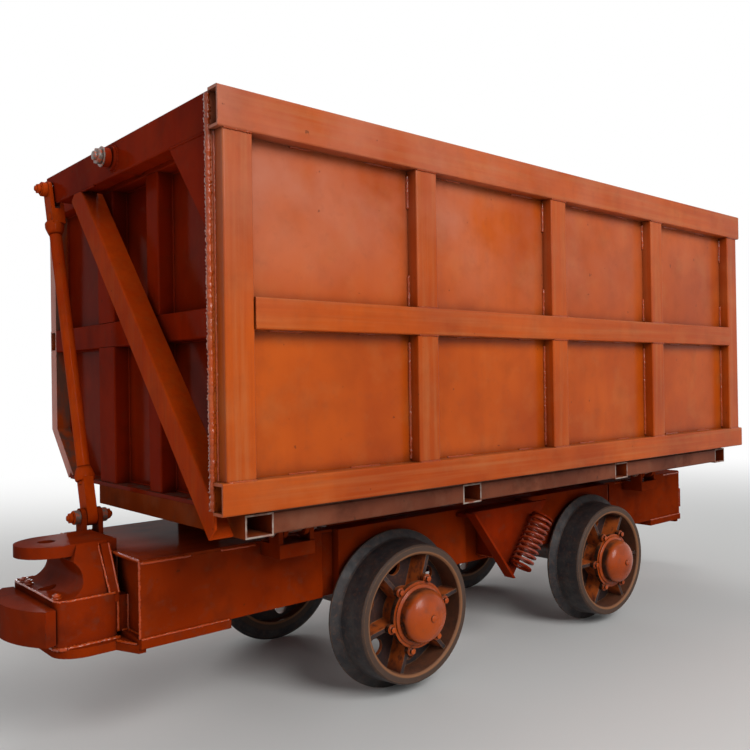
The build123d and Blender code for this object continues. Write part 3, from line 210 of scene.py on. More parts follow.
def enamel(
    name, sprayed, thick, dull, grime, corner, chips, roughness, coat, gloss=0.12, buckle=0.10, peel=0.12,
    dusty=0.5, painted_sky_sheen=0.0, scraped=0.0, streaks=None, dirty_rim=0.0, bare_ends=0.0, channel_painted_shade=0.0,
):
    """Gloss enamel sprayed by hand over hot-rolled steel.

    The eye gets an uneven coat, redder where it is thick and in runs, duller where the spray was dry,
    with grime and painted shade in the corners, dust on the ledges, brown steel at knocked edges, orange
    peel and a slight buckle. The numbers, apart from roughness, are shares of each effect's full strength.
    """
    material, tree, shader = start_material(name, roughness, gloss, coat)
    place = put(tree, "ShaderNodeTexCoord").outputs["Object"]
    layers = [
        (blotches(tree, place, 420, 0.36, 0.66, detail=3.0), thick),
        # runs of thick paint, 60 mm apart and ten times as long
        (
            blotches(
                tree, place, 60, 0.50, 0.80, detail=3.0, stretch=(1.0, 1.0, 0.10), seed=3.1, amount=0.45
            ),
            thick,
        ),
        # dry spray in patches of 130 mm
        (blotches(tree, place, 130, 0.52, 0.80, detail=6.0, seed=9.4, amount=0.35), dull),
    ]
    if dirty_rim:
        # faces that look away from the axle's line keep road dirt, patchy at 40 mm
        turned_away = put(
            tree, "ShaderNodeMapRange", {"Value": squarely(tree, "Y"), "From Min": 0.50, "From Max": 0.15}
        ).outputs["Result"]
        patchy = blotches(tree, place, 40, 0.20, 0.50, detail=5.0, seed=18.8, amount=dirty_rim)
        layers.append((overlap(tree, turned_away, patchy), "#2C1C14"))
    if streaks:
        # spray passes along the channel, 11 and 19 mm apart
        for apart, start, full, seed, over in ((11, 0.42, 0.72, 12.6, thick), (19, 0.46, 0.76, 16.1, dull)):
            passes = blotches(
                tree, place, apart, start, full, detail=3.0, stretch=streaks, seed=seed, amount=0.40
            )
            layers.append((passes, over))
    if painted_sky_sheen:
        # painted sky reflection and painted light: a paler haze over the upper half, most toward the front
        # end
        spot = put(tree, "ShaderNodeSeparateXYZ", {"Vector": place})
        upper = put(
            tree,
            "ShaderNodeMapRange",
            {"Value": spot.outputs["Z"], "From Min": 1.12, "From Max": 1.50, "To Max": painted_sky_sheen},
        ).outputs["Result"]
        toward_front = put(
            tree,
            "ShaderNodeMapRange",
            {"Value": spot.outputs["X"], "From Min": 0.9, "From Max": -0.5, "To Min": 0.25},
        ).outputs["Result"]
        sheen_patches = blotches(tree, place, 300, 0.30, 0.70, detail=4.0, seed=1.7)
        layers.append((overlap(tree, upper, overlap(tree, sheen_patches, toward_front)), "#B4745E"))
    handled = blotches(tree, place, 90, 0.50, 0.74, detail=8.0, seed=5.2, amount=grime)
    layers.append((handled, "#2A1510"))
    rubbed = blotches(tree, place, 28, 0.56, 0.70, detail=8.0, seed=11.3, amount=grime * 0.7)
    layers.append((rubbed, "#5E3A2A"))
    # stray specks of dirt
    layers.append((blotches(tree, place, 26, 0.745, 0.765, detail=2.0, seed=20.3, amount=0.5), "#3A2014"))
    # painted shade and dirt, darkest where corners and ledges are most shut in
    layers.append((corner_shade_and_dirt(tree, 45, corner), "#2B120A"))
    dust = blotches(tree, place, 45, 0.30, 0.70, detail=6.0, seed=7.7)
    settled = overlap(tree, looking_up(tree, dusty), dust)
    layers.append((settled, dull))
    broken = blotches(tree, place, 16, 0.50, 0.60, detail=6.0, seed=2.2, amount=chips)
    layers.append((overlap(tree, sharp_edges(tree, 3.5), broken), "#3A2018"))
    if scraped:
        layers.append((scraped_inside(tree, place, scraped), "#5C4A40"))
    if bare_ends:
        # saw-cut ends across the cart, where the spray is thin over pale primer
        cut_face = put(
            tree, "ShaderNodeMath", {0: squarely(tree, "Y"), 1: 0.95}, operation="GREATER_THAN"
        ).outputs[0]
        thin = blotches(tree, place, 20, 0.25, 0.55, detail=4.0, seed=21.4, amount=bare_ends)
        layers.append((overlap(tree, cut_face, thin), "#A49C92"))
    if channel_painted_shade:
        # painted shade: near black deep inside the channel, seen at its open end
        layers.append((corner_shade_and_dirt(tree, 150, channel_painted_shade, 0.42, 0.20), "#0E0B0C"))
    painted(tree, shader, sprayed, layers)
    worn = put(tree, "ShaderNodeMath", {0: handled, 1: settled}, operation="MAXIMUM").outputs[0]
    dulled = put(
        tree, "ShaderNodeMapRange", {"Value": worn, "To Min": roughness, "To Max": roughness + 0.45}
    ).outputs["Result"]
    tree.links.new(dulled, shader.inputs["Roughness"])
    # buckled plate 240 mm from swell to swell, then orange peel drawn coarse at 6 mm so that it shows
    soft = put(tree, "ShaderNodeBevel", {"Radius": 2.2 * MM}, samples=4).outputs["Normal"]
    swell = put(
        tree,
        "ShaderNodeTexNoise",
        {"Vector": place, "Scale": 1000.0 / 240, "Detail": 1.5, "Roughness": 0.4},
    )
    plate = put(
        tree,
        "ShaderNodeBump",
        {"Strength": buckle, "Distance": 0.030, "Height": swell.outputs["Fac"], "Normal": soft},
    ).outputs["Normal"]
    orange_peel = put(
        tree, "ShaderNodeTexNoise", {"Vector": place, "Scale": 1000.0 / 6, "Detail": 2.0, "Roughness": 0.5}
    )
    skin = put(
        tree,
        "ShaderNodeBump",
        {"Strength": peel, "Distance": 0.0010, "Height": orange_peel.outputs["Fac"], "Normal": plate},
    ).outputs["Normal"]
    tree.links.new(skin, shader.inputs["Normal"])
    tree.links.new(skin, shader.inputs["Coat Normal"])
    return material


def cast_wheel(name, axle_x):
    """Cast steel wheel: dark mould skin with brown rust, a smooth tread, orange spray on ribs and hub."""
    material, tree, shader = start_material(name, 0.62, 0.35)
    place = put(tree, "ShaderNodeTexCoord").outputs["Object"]
    flat = put(
        tree,
        "ShaderNodeMapping",
        {"Vector": place, "Scale": (1.0, 0.0, 1.0), "Location": (-axle_x * MM, 0.0, -AXLE_Z * MM)},
    ).outputs["Vector"]
    # distance from the axle's line, in metres as every radius below
    radius = put(tree, "ShaderNodeVectorMath", {0: flat}, operation="LENGTH").outputs["Value"]
    # overspray fades from the hub to the rim, broken up at 24 mm
    near_hub = put(
        tree, "ShaderNodeMapRange", {"Value": radius, "From Min": 0.192, "From Max": 0.150, "To Max": 1.0}
    ).outputs["Result"]
    drifting = blotches(tree, place, 24, 0.26, 0.52, detail=5.0, seed=4.4)
    # it lies thick on the ribs and the hub's barrel, and thin on the flat web between them
    on_ribs = put(
        tree,
        "ShaderNodeMapRange",
        {"Value": squarely(tree, "Y"), "From Min": 0.99, "From Max": 0.955, "To Min": 0.05},
    ).outputs["Result"]
    spray = overlap(tree, overlap(tree, near_hub, drifting), on_ribs)
    # the rolled face of the tread
    band = put(
        tree, "ShaderNodeMapRange", {"Value": radius, "From Min": 0.213, "From Max": 0.221}
    ).outputs["Result"]
    rolled = overlap(tree, band, blotches(tree, place, 35, 0.34, 0.70, detail=6.0, seed=6.1, amount=0.40))
    # the rim's face, brown all round, and its inner edge, rubbed paler
    rings = []
    for middle, start, full, amount in ((0.203, 0.016, 0.010, 0.65), (0.191, 0.006, 0.002, 0.8)):
        off = put(tree, "ShaderNodeMath", {0: radius, 1: middle}, operation="SUBTRACT").outputs[0]
        away = put(tree, "ShaderNodeMath", {0: off}, operation="ABSOLUTE").outputs[0]
        ring = put(
            tree,
            "ShaderNodeMapRange",
            {"Value": away, "From Min": start, "From Max": full, "To Max": amount},
        )
        rings.append(ring.outputs["Result"])
    broken = blotches(tree, place, 30, 0.34, 0.56, seed=3.9, amount=0.85)
    knocked = overlap(tree, sharp_edges(tree, 4.0), broken)
    painted(tree, shader, "#19181C", (
        (blotches(tree, place, 55, 0.42, 0.70, detail=7.0, seed=1.2, amount=0.50), "#342018"),
        (blotches(tree, place, 12, 0.52, 0.72, detail=6.0, seed=8.2, amount=0.5), "#5C3826"),
        # painted shade where ribs, web and rim shut each other in
        (corner_shade_and_dirt(tree, 40, 0.6), "#1B1210"),
        (spray, "#AC5018"),
        (rolled, "#47423F"),
        (rings[0], "#4E382A"),
        (rings[1], "#8A5A38"),
        (knocked, "#9C6A40"),
    ))
    smoothed = put(tree, "ShaderNodeMapRange", {"Value": rolled, "To Min": 0.66, "To Max": 0.30})
    tree.links.new(smoothed.outputs["Result"], shader.inputs["Roughness"])
    soft = put(tree, "ShaderNodeBevel", {"Radius": 4.0 * MM}, samples=4).outputs["Normal"]
    # sand grain of the mould at 5 mm
    sand = put(
        tree, "ShaderNodeTexNoise", {"Vector": place, "Scale": 1000.0 / 5, "Detail": 5.0, "Roughness": 0.6}
    )
    skin = put(
        tree,
        "ShaderNodeBump",
        {"Strength": 0.35, "Distance": 0.0016, "Height": sand.outputs["Fac"], "Normal": soft},
    ).outputs["Normal"]
    tree.links.new(skin, shader.inputs["Normal"])
    return material


def bare_steel(name, base, rust, spray, sprayed):
    """Turned or forged steel left bare: dull grey with a rust film and flecks of orange overspray."""
    material, tree, shader = start_material(name, 0.42, 0.6)
    place = put(tree, "ShaderNodeTexCoord").outputs["Object"]
    painted(tree, shader, base, (
        (blotches(tree, place, 14, 0.45, 0.65, detail=6.0, seed=1.1, amount=0.8), rust),
        (blotches(tree, place, 9, 0.50, 0.58, detail=4.0, seed=6.6, amount=sprayed), spray),
        # painted shade where the steel is shut in
        (corner_shade_and_dirt(tree, 12, 0.6), "#20100A"),
    ))
    soft = put(tree, "ShaderNodeBevel", {"Radius": 1.0 * MM}, samples=4).outputs["Normal"]
    tree.links.new(soft, shader.inputs["Normal"])
    return material


# the door's enamels carry a painted sky reflection on their upper half
door_rail_enamel = enamel(
    "gloss orange enamel on door rails", "#B24C0E", "#983A08", "#AC6A3C",
    grime=0.14, corner=0.6, chips=1.0, roughness=0.32, coat=0.05,
    painted_sky_sheen=0.60, streaks=(0.03, 1.0, 1.0), channel_painted_shade=0.95,
)
door_post_enamel = enamel(
    "gloss orange enamel on door posts", "#B24C0E", "#983A08", "#AC6A3C",
    grime=0.12, corner=0.6, chips=0.7, roughness=0.32, coat=0.05, painted_sky_sheen=0.36, streaks=(1.0, 1.0, 0.03),
)
door_plate_enamel = enamel(
    "gloss orange enamel on door plate", "#B44E0E", "#9A3C08", "#AA6A38",
    grime=0.14, corner=0.7, chips=0.7, roughness=0.30, coat=0.06, painted_sky_sheen=0.72, scraped=0.85,
)
# the ends' frames and plates: the door's orange deepened to dark red as painted shade, for ends facing away
# from the key light
end_enamel_painted_shade = enamel(
    "gloss red orange enamel on end frames", "#922406", "#701604", "#782A0E",
    grime=0.22, corner=0.7, chips=0.6, roughness=0.26, coat=0.03, gloss=0.0,
)
end_plate_enamel_painted_shade = enamel(
    "gloss red orange enamel on end plates", "#862206", "#6C1604", "#742C12",
    grime=0.22, corner=0.7, chips=0.6, roughness=0.22, coat=0.06, gloss=0.0, scraped=0.85,
)
far_enamel = enamel(
    "gloss orange enamel on far plate", "#B44712", "#9A360C", "#B0643E",
    grime=0.16, corner=0.6, chips=0.7, roughness=0.32, coat=0.08, scraped=0.85,
)
chassis_enamel = enamel(
    "grimy orange enamel on rolled steel", "#902E06", "#6C1E04", "#763418",
    grime=0.38, corner=0.8, chips=0.9, roughness=0.36, coat=0.02, gloss=0.0, dusty=0.1,
)
tube_enamel = enamel(
    "thin orange enamel on sawn tube", "#8E3A14", "#6C2408", "#8C5A40",
    grime=0.38, corner=0.8, chips=0.9, roughness=0.42, coat=0.01, gloss=0.0, bare_ends=0.75,
)
casting_enamel = enamel(
    "grimy orange enamel on cast steel", "#862806", "#641A04", "#70301A",
    grime=0.46, corner=0.85, chips=1.0, roughness=0.30, coat=0.04, gloss=0.0, buckle=0.22, dusty=0.15,
)
weld_enamel = enamel(
    "thick gloss enamel run over weld scales", "#B8440E", "#983208", "#A85228",
    grime=0.22, corner=0.5, chips=0.4, roughness=0.16, coat=0.25, gloss=0.25, buckle=0.0, peel=0.7,
)
door_weld_enamel = enamel(
    "thick gloss enamel run over the door's welds", "#AC4410", "#8A3008", "#AA6238",
    grime=0.22, corner=0.5, chips=0.4, roughness=0.10, coat=0.22, gloss=0.2, buckle=0.0, peel=0.9,
)
strut_enamel = enamel(
    "gloss orange enamel on braces and rods", "#BC4006", "#9C2C04", "#9C4418",
    grime=0.20, corner=0.7, chips=0.6, roughness=0.28, coat=0.04, gloss=0.0, streaks=(1.0, 1.0, 0.10),
)
# darker and redder than the chassis as painted shade over the bracket, with real grime on top
bracket_enamel_painted_shade = enamel(
    "grimy red orange enamel on the side bracket", "#8A2606", "#6A1A04", "#722C14",
    grime=0.40, corner=0.8, chips=0.9, roughness=0.34, coat=0.02, gloss=0.0,
)
sill_enamel = enamel(
    "thin orange primer on folded sill", "#78402A", "#5A2C1B", "#8C6650",
    grime=0.55, corner=0.8, chips=0.9, roughness=0.55, coat=0.0,
)
cap_enamel = enamel(
    "thick gloss enamel on turned cap", "#B44C0E", "#983A06", "#A4603A",
    grime=0.55, corner=0.95, chips=0.9, roughness=0.26, coat=0.12, gloss=0.2, buckle=0.03, dirty_rim=1.0,
)
front_wheel_steel = cast_wheel("cast steel of the front wheels", -AXLE_X)
rear_wheel_steel = cast_wheel("cast steel of the rear wheels", AXLE_X)
spring_enamel = enamel(
    "enamel over oily spring wire", "#A8380E", "#7A2408", "#8C5840",
    grime=0.45, corner=0.6, chips=0.6, roughness=0.30, coat=0.25, gloss=0.35, buckle=0.0,
)
pin_steel = bare_steel("forged steel of pins and nuts", "#6A5C54", "#5E3524", "#A8431A", sprayed=0.85)
bearing_steel = bare_steel("turned steel of axles and roller", "#4C4541", "#46291C", "#8A3716", sprayed=0.4)

for finish, names in (
    (door_rail_enamel, "door_rails"),
    (door_post_enamel, "door_posts"),
    (door_plate_enamel, "door_plate"),
    (end_enamel_painted_shade, "door_arm_bars door_arm_gussets end_wall_posts end_wall_rails arm_pivots"),
    (strut_enamel, "door_arm_braces pull_rod_front pull_rod_rear"),
    (bracket_enamel_painted_shade, "side_bracket"),
    (end_plate_enamel_painted_shade, "end_walls floor_plate"),
    (far_enamel, "far_wall far_wall_rails far_wall_posts roller_bracket"),
    (sill_enamel, "floor_sills"),
    (tube_enamel, "under_tubes"),
    (chassis_enamel, "side_beams deck_plates end_plates foot_plates cross_members pedestals"),
    (chassis_enamel, "box_hinge_lugs hinge_cradles rest_pads rod_ears"),
    (casting_enamel, "coupler_heads buffer_plates"),
    (cap_enamel, "hub_caps_front hub_caps_rear"),
    (spring_enamel, "coil_spring"),
    (pin_steel, "hinge_pins rod_foot_pins"),
    (bearing_steel, "unloading_roller axle_front axle_rear"),
    (front_wheel_steel, "wheel_front_near wheel_front_far"),
    (rear_wheel_steel, "wheel_rear_near wheel_rear_far"),
):
    for name in names.split():
        mesh = node_object[name].data
        mesh.materials.clear()
        mesh.materials.append(finish)


# Pieces
AS_DRAWN = Matrix.Identity(4)


def stock_mesh(shell):
    """Keeps a shape to lay copies from, its faces outward."""
    bmesh.ops.recalc_face_normals(shell, faces=shell.faces)
    mesh = bpy.data.meshes.new("stock")
    shell.to_mesh(mesh)
    shell.free()
    return mesh


def lay(shell, stock, place=AS_DRAWN):
    """Adds a copy of a stock shape to a piece."""
    before = len(shell.verts)
    shell.from_mesh(stock)
    shell.verts.ensure_lookup_table()
    bmesh.ops.transform(shell, matrix=place, verts=shell.verts[before:])


def finish_piece(name, shell, body, finish):
    """Makes the shape a piece with a finish, which moves with a body and belongs to a material slot."""
    for face in shell.faces:
        face.smooth = True
    mesh = bpy.data.meshes.new(name)
    shell.to_mesh(mesh)
    shell.free()
    mesh.materials.append(finish)
    piece = bpy.data.objects.new(name, mesh)
    bpy.context.scene.collection.objects.link(piece)
    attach(piece, body)


def facing(at, out, roll=0.0):
    """Frame whose Z looks along out, at a point given in millimetres."""
    turn = Vector(out).to_track_quat("Z", "Y").to_matrix().to_4x4()
    return Matrix.Translation(Vector(at) * MM) @ turn @ Matrix.Rotation(roll, 4, "Z")


def turned(profile, at, out, steps):
    """Turned piece: the profile of (radius, height) in millimetres spun round its axis."""
    shell = bmesh.new()
    points = [shell.verts.new((radius * MM, 0.0, height * MM)) for radius, height in profile]
    edges = [shell.edges.new(pair) for pair in zip(points, points[1:])]
    bmesh.ops.spin(
        shell, geom=points + edges, cent=(0, 0, 0), axis=(0, 0, 1), angle=math.tau, steps=steps,
        use_merge=True,
    )
    bmesh.ops.remove_doubles(shell, verts=shell.verts, dist=0.00002)
    bmesh.ops.transform(shell, matrix=facing(at, out), verts=shell.verts)
    return stock_mesh(shell)


# Weld: overlapping scales 9 mm apart on a rod of unit radius, drawn a little coarse so that they show
BEAD_STEP = 0.0045
BEAD_LENGTH = 2.5
SCALE_SIZES = (0.86, 1.10)
BETWEEN_SCALES = 0.80
WANDER = 0.14
STITCH_PITCH = 230
STITCH_HALF = (30, 55)
chance = random.Random(11)


def bead_stock():
    """A long rod of weld; every run is a length cut from it."""
    shell = bmesh.new()
    rings = int(BEAD_LENGTH / BEAD_STEP)
    bmesh.ops.create_cone(
        shell, cap_ends=False, segments=6, radius1=1.0, radius2=1.0, depth=BEAD_LENGTH,
        matrix=Matrix.Translation((0, 0, BEAD_LENGTH / 2)),
    )
    long_edges = [e for e in shell.edges if abs(e.verts[0].co.z - e.verts[1].co.z) > 1.0]
    bmesh.ops.subdivide_edges(shell, edges=long_edges, cuts=rings - 1, use_grid_fill=False)
    swell = [chance.uniform(*SCALE_SIZES) * (1.0 if i % 2 else BETWEEN_SCALES) for i in range(rings + 1)]
    lean = [(chance.uniform(-WANDER, WANDER), chance.uniform(-WANDER, WANDER)) for i in range(rings + 1)]
    for vert in shell.verts:
        ring = round(vert.co.z * rings / BEAD_LENGTH)
        vert.co.x = vert.co.x * swell[ring] + lean[ring][0]
        vert.co.y = vert.co.y * swell[ring] + lean[ring][1]
    return stock_mesh(shell)


bead = bead_stock()


def weld(shell, start, end, radius):
    """One run of weld between two points in millimetres."""
    start, end = Vector(start), Vector(end)
    length = (end - start).length * MM
    run = bmesh.new()
    run.from_mesh(bead)
    # a length of the rod from between any two scales, with a filled face at both cuts
    first = BEAD_STEP * chance.randrange(int((BEAD_LENGTH - length) / BEAD_STEP) or 1)
    for plane_z, side in ((first, -1), (first + length, 1)):
        cut = bmesh.ops.bisect_plane(
            run,
            geom=run.verts[:] + run.edges[:] + run.faces[:],
            plane_co=(0, 0, plane_z),
            plane_no=(0, 0, side),
            clear_outer=True,
        )
        rim = [g for g in cut["geom_cut"] if isinstance(g, bmesh.types.BMEdge)]
        bmesh.ops.edgeloop_fill(run, edges=rim)
    bmesh.ops.translate(run, vec=(0, 0, -first), verts=run.verts)
    bmesh.ops.scale(run, vec=(radius * MM, radius * MM, 1.0), verts=run.verts)
    bmesh.ops.recalc_face_normals(run, faces=run.faces)
    bmesh.ops.transform(run, matrix=facing(start, end - start), verts=run.verts)
    mesh = bpy.data.meshes.new("run")
    run.to_mesh(mesh)
    run.free()
    shell.from_mesh(mesh)
    bpy.data.meshes.remove(mesh)


def weld_path(shell, points, radius):
    """Runs of weld from point to point."""
    for start, end in zip(points, points[1:]):
        weld(shell, start, end, radius)


def weld_table(shell, runs, end, side=1):
    """Runs of start, end and radius, given for the rear end and the far side, at any end and side."""
    mirror = Vector((end, side, 1))
    for start, stop, radius in runs:
        weld(shell, mirror * Vector(start), mirror * Vector(stop), radius)


def stitches(shell, start, end, radius):
    """Short runs of weld, 60 to 110 mm long, spread along a line in millimetres."""
    start, end = Vector(start), Vector(end)
    run = end - start
    count = max(1, round(run.length / STITCH_PITCH))
    for i in range(count):
        middle = (i + chance.uniform(0.35, 0.65)) / count
        half = chance.uniform(*STITCH_HALF) / run.length
        weld(shell, start + run * max(0.0, middle - half), start + run * min(1.0, middle + half), radius)


def hex_stock(across, thick, washer, stud=0.0):
    """Hexagon nut or head on a washer, with chamfered corners and the bolt's end; units in millimetres."""
    washer_t, edge, stud_tip = 3, 0.8, 1.5
    # a hexagon's corners stand this far out for its width across flats
    corner_r = across / 1.732 * MM
    shell = bmesh.new()
    bmesh.ops.create_cone(
        shell, cap_ends=True, segments=6, radius1=corner_r, radius2=corner_r,
        depth=thick * MM, matrix=Matrix.Translation((0, 0, (washer_t + thick / 2) * MM)),
    )
    rims = [e for e in shell.edges if abs(e.verts[0].co.z - e.verts[1].co.z) < 1e-6]
    bmesh.ops.bevel(
        shell, geom=rims, offset=across * 0.07 * MM, offset_type="OFFSET", segments=2, profile=0.5,
        affect="EDGES", material=-1,
    )
    hexagon = stock_mesh(shell)
    whole = bmesh.new()
    lay(whole, hexagon)
    disc = ((0, 0), (washer, 0), (washer, washer_t - edge), (washer - edge, washer_t), (0, washer_t))
    lay(whole, turned(disc, (0, 0, 0), (0, 0, 1), 24))
    if stud:
        r = across * 0.31
        top = washer_t + thick + stud
        rod = ((0, washer_t), (r, washer_t), (r, top - stud_tip), (r - stud_tip, top), (0, top))
        lay(whole, turned(rod, (0, 0, 0), (0, 0, 1), 16))
    return stock_mesh(whole)


# Places on the CAD parts in millimetres; x and y are for the rear end and far side where all are alike
POSTS_X = (-1215.0, -607.5, 0.0, 607.5, 1215.0)
FAR_POSTS_X = tuple(x * 1142.0 / 1215.0 for x in POSTS_X)
POST_HALF = 40
DOOR_FACE_Y, DOOR_BACK_Y, POST_FACE_Y = -613, -602, -655.2
ARM_BAR_LOW = 1603
PIVOT_Y, PIVOT_Z = -15, 1654
END_FACE_X, FAR_FACE_Y = 1134.5, 757
WALL_FOOT_Z, RAIL_LOW, RAIL_TOP, RIM_LOW = 677, 1113, 1193, 1610
DECK_Z, BEAM_TOP_Z = 528, 520
CHEEK_Y, BRACKET_Y = 301, -387
HINGES_X, HINGE_Y, HINGE_Z = (-905, 905), -375, 570
ROD_X, ROD_FOOT_Y, ROD_FOOT_Z = 1268, 200, 586
FORK_X, FORK_Y, FORK_Z = 1260.5, 520, 1654
ROLLER_Z = 545

# Door: stitches along the rails, runs along the posts, a short run at each joint of post and rail
DOOR_PANELS = (  # each row's foot and top, the runs beside its posts and their radius
    (754, 1123, ((762, 1103),), 7.2),
    (1203, 1604, ((1209, 1299), (1494, 1592)), 6.8),
)
JOINTS_Z = (754, 1123, 1203, 1604)
shell = bmesh.new()
for left, right in zip(POSTS_X, POSTS_X[1:]):
    x_low, x_high = left + POST_HALF, right - POST_HALF
    for low, high, beside_posts, radius in DOOR_PANELS:
        stitches(shell, (x_low, DOOR_FACE_Y, low), (x_high, DOOR_FACE_Y, low), 5.0)
        stitches(shell, (x_low, DOOR_FACE_Y, high), (x_high, DOOR_FACE_Y, high), 4.2)
        for x in (x_low, x_high):
            for start, stop in beside_posts:
                weld(shell, (x, DOOR_FACE_Y, start), (x, DOOR_FACE_Y, stop), radius)
# outer flanks of the end posts
for end in BOTH:
    weld(shell, (end * 1256, DOOR_FACE_Y, 755), (end * 1256, DOOR_FACE_Y, 1603), 4.6)
for x in POSTS_X:
    for z in JOINTS_Z if abs(x) < POSTS_X[-1] else (JOINTS_Z[0], JOINTS_Z[-1]):
        weld(shell, (x - 38, POST_FACE_Y, z), (x + 38, POST_FACE_Y, z), 3.4)
# a heavy run down each end of the plate
for end in BOTH:
    weld(shell, (end * 1268, -606, 684), (end * 1268, -606, 1691), 9.6)
finish_piece("door_welds", shell, "door", door_weld_enamel)

# Door arms: runs at the bar's and brace's feet, along the gussets, and round the pivot bosses
ARM_RUNS = (
    ((1220, DOOR_BACK_Y, 1604), (1263, DOOR_BACK_Y, 1604), 4.0),
    ((1220, DOOR_BACK_Y, 1698), (1263, DOOR_BACK_Y, 1698), 4.0),
    ((1262, DOOR_BACK_Y, 700), (1262, DOOR_BACK_Y, 800), 4.4),
    ((1200, DOOR_BACK_Y, 700), (1200, DOOR_BACK_Y, 800), 4.4),
    ((1262, DOOR_BACK_Y, 1364), (1262, DOOR_BACK_Y, 1600), 4.2),
    ((1263, -590, ARM_BAR_LOW), (1263, -388, ARM_BAR_LOW), 4.2),
    ((1262, 138, ARM_BAR_LOW), (1262, 246, ARM_BAR_LOW), 4.2),
)
BOSS_FACE_X, BOSS_R, BOSS_STEPS = 1264, 37, 16
turns = [i * math.tau / BOSS_STEPS for i in range(BOSS_STEPS + 1)]
ring = [(PIVOT_Y + BOSS_R * math.cos(turn), PIVOT_Z + BOSS_R * math.sin(turn)) for turn in turns]
shell = bmesh.new()
for end in BOTH:
    weld_table(shell, ARM_RUNS, end)
    weld_path(shell, [(end * BOSS_FACE_X, y, z) for y, z in ring], 3.4)
finish_piece("arm_welds", shell, "door", end_enamel_painted_shade)

# Box ends: runs along the posts, the rails and the floor, and round the plate's slanted corner
shell = bmesh.new()
for end in BOTH:
    face = end * END_FACE_X
    for y in (-125, -45, 210, 340):
        weld(shell, (face, y, WALL_FOOT_Z + 1), (face, y, RAIL_LOW - 1), 4.4)
        weld(shell, (face, y, RAIL_TOP + 1), (face, y, RIM_LOW - 1), 4.4)
    for z in (RAIL_LOW, RAIL_TOP, RIM_LOW):
        for low, high in ((-596, -127), (-43, 208), (342, 747)):
            weld(shell, (face, low, z), (face, high, z), 4.0)
    for low, high in ((-596, -127), (-43, 208), (342, 588)):
        weld(shell, (face, low, WALL_FOOT_Z), (face, high, WALL_FOOT_Z), 4.8)
    weld_path(shell, ((face, 591, WALL_FOOT_Z), (face, 748, 834), (face, 748, 1688)), 4.6)
finish_piece("box_end_welds", shell, "box", end_enamel_painted_shade)

# Far plate: runs along the rails, beside the posts down to the slanted foot, and at the floor
shell = bmesh.new()
for left, right in zip(FAR_POSTS_X, FAR_POSTS_X[1:]):
    for z in (RAIL_LOW, RAIL_TOP, RIM_LOW):
        weld(shell, (left + POST_HALF, FAR_FACE_Y + 0.5, z), (right - POST_HALF, FAR_FACE_Y + 0.5, z), 4.0)
    for x in (left + POST_HALF + 0.5, right - POST_HALF - 0.5):
        weld_path(shell, ((x, 615, 689), (x, FAR_FACE_Y, 831), (x, FAR_FACE_Y, RAIL_LOW - 1)), 4.2)
        weld(shell, (x, FAR_FACE_Y, RAIL_TOP + 1), (x, FAR_FACE_Y, RIM_LOW - 1), 4.2)
for left, right in ((-1180, -112), (112, 1180)):
    weld(shell, (left, 602.5, 676), (right, 602.5, 676), 3.6)
finish_piece("far_plate_welds", shell, "box", far_enamel)

# Chassis: runs at the decks, cheeks, end plates, foot plates, rod ears, hinges and side bracket
CHASSIS_RUNS = (
    # deck on the cheek plate
    ((1180, 300, BEAM_TOP_Z), (1319, 300, BEAM_TOP_Z), 4.8),
    ((980, 300, BEAM_TOP_Z), (1090, 300, BEAM_TOP_Z), 4.8),
    ((790, 300, BEAM_TOP_Z), (900, 300, BEAM_TOP_Z), 4.8),
    # cheek plate's outer end, then its corners with the end plate, the foot plate and the side beam
    ((1320.5, 297, 321), (1320.5, 297, 526), 4.2),
    ((1303, 289, 322), (1303, 289, 519), 4.2),
    ((1068, CHEEK_Y, 320), (1319, CHEEK_Y, 320), 5.2),
    ((750, 291, 338), (750, 291, 519), 3.8),
    # end plate beside the coupler head, the deck's edge over it and its foot
    ((1302.5, 176, 321), (1302.5, 176, 417), 4.8),
    ((1302.5, 101, 420), (1302.5, 101, 518), 4.8),
    ((1320, 106, 526), (1320, 296, 526), 4.6),
    ((1303, 180, 320.5), (1303, 286, 320.5), 4.6),
    # foot plate's flared side
    ((1323, 284, 307), (1348, 214, 307), 3.4),
)
EAR_FACES_X, EAR_HALF = (1239, 1257, 1279, 1297), 27
shell = bmesh.new()
for end in BOTH:
    for side in BOTH:
        weld_table(shell, CHASSIS_RUNS, end, side)
        # the rod's ears are welded in two passes, there and back
        first_y, last_y = ROD_FOOT_Y - side * EAR_HALF, ROD_FOOT_Y + side * EAR_HALF
        for x in EAR_FACES_X:
            weld(shell, (end * x, first_y, DECK_Z + 1), (end * x, last_y, DECK_Z + 1), 3.2)
    weld(shell, (end * 1303, -100, DECK_Z), (end * 1303, 100, DECK_Z), 4.6)
# hinge cradles and rest pads, in two passes
for x in HINGES_X:
    for weld_pass in range(2):
        weld(shell, (x - 58, -CHEEK_Y, DECK_Z), (x + 58, -CHEEK_Y, DECK_Z), 4.0)
        for y in (180, 240):
            weld(shell, (x - 60, y, DECK_Z + 0.5), (x + 60, y, DECK_Z + 0.5), 4.0)
# ribs, top edge and slanted edge of the side bracket
for x in (-65, -55, 15, 25):
    weld(shell, (x, BRACKET_Y, 345), (x, -291, 345), 3.0)
    weld(shell, (x, BRACKET_Y, 344), (x, BRACKET_Y, 500), 3.0)
weld(shell, (-190, BRACKET_Y, 503), (190, BRACKET_Y, 503), 3.6)
weld(shell, (-196, -399, 516), (-9, -399, 272), 3.6)
finish_piece("chassis_welds", shell, "chassis", weld_enamel)


# Couplers: the run round each head's foot, the seam behind it and the raised lip of the lower jaw
def round_the_head(half):
    """Outline of the head: its half on the far side, then the same on the near side, mirrored."""
    return half + tuple((x, -y) for x, y in reversed(half))


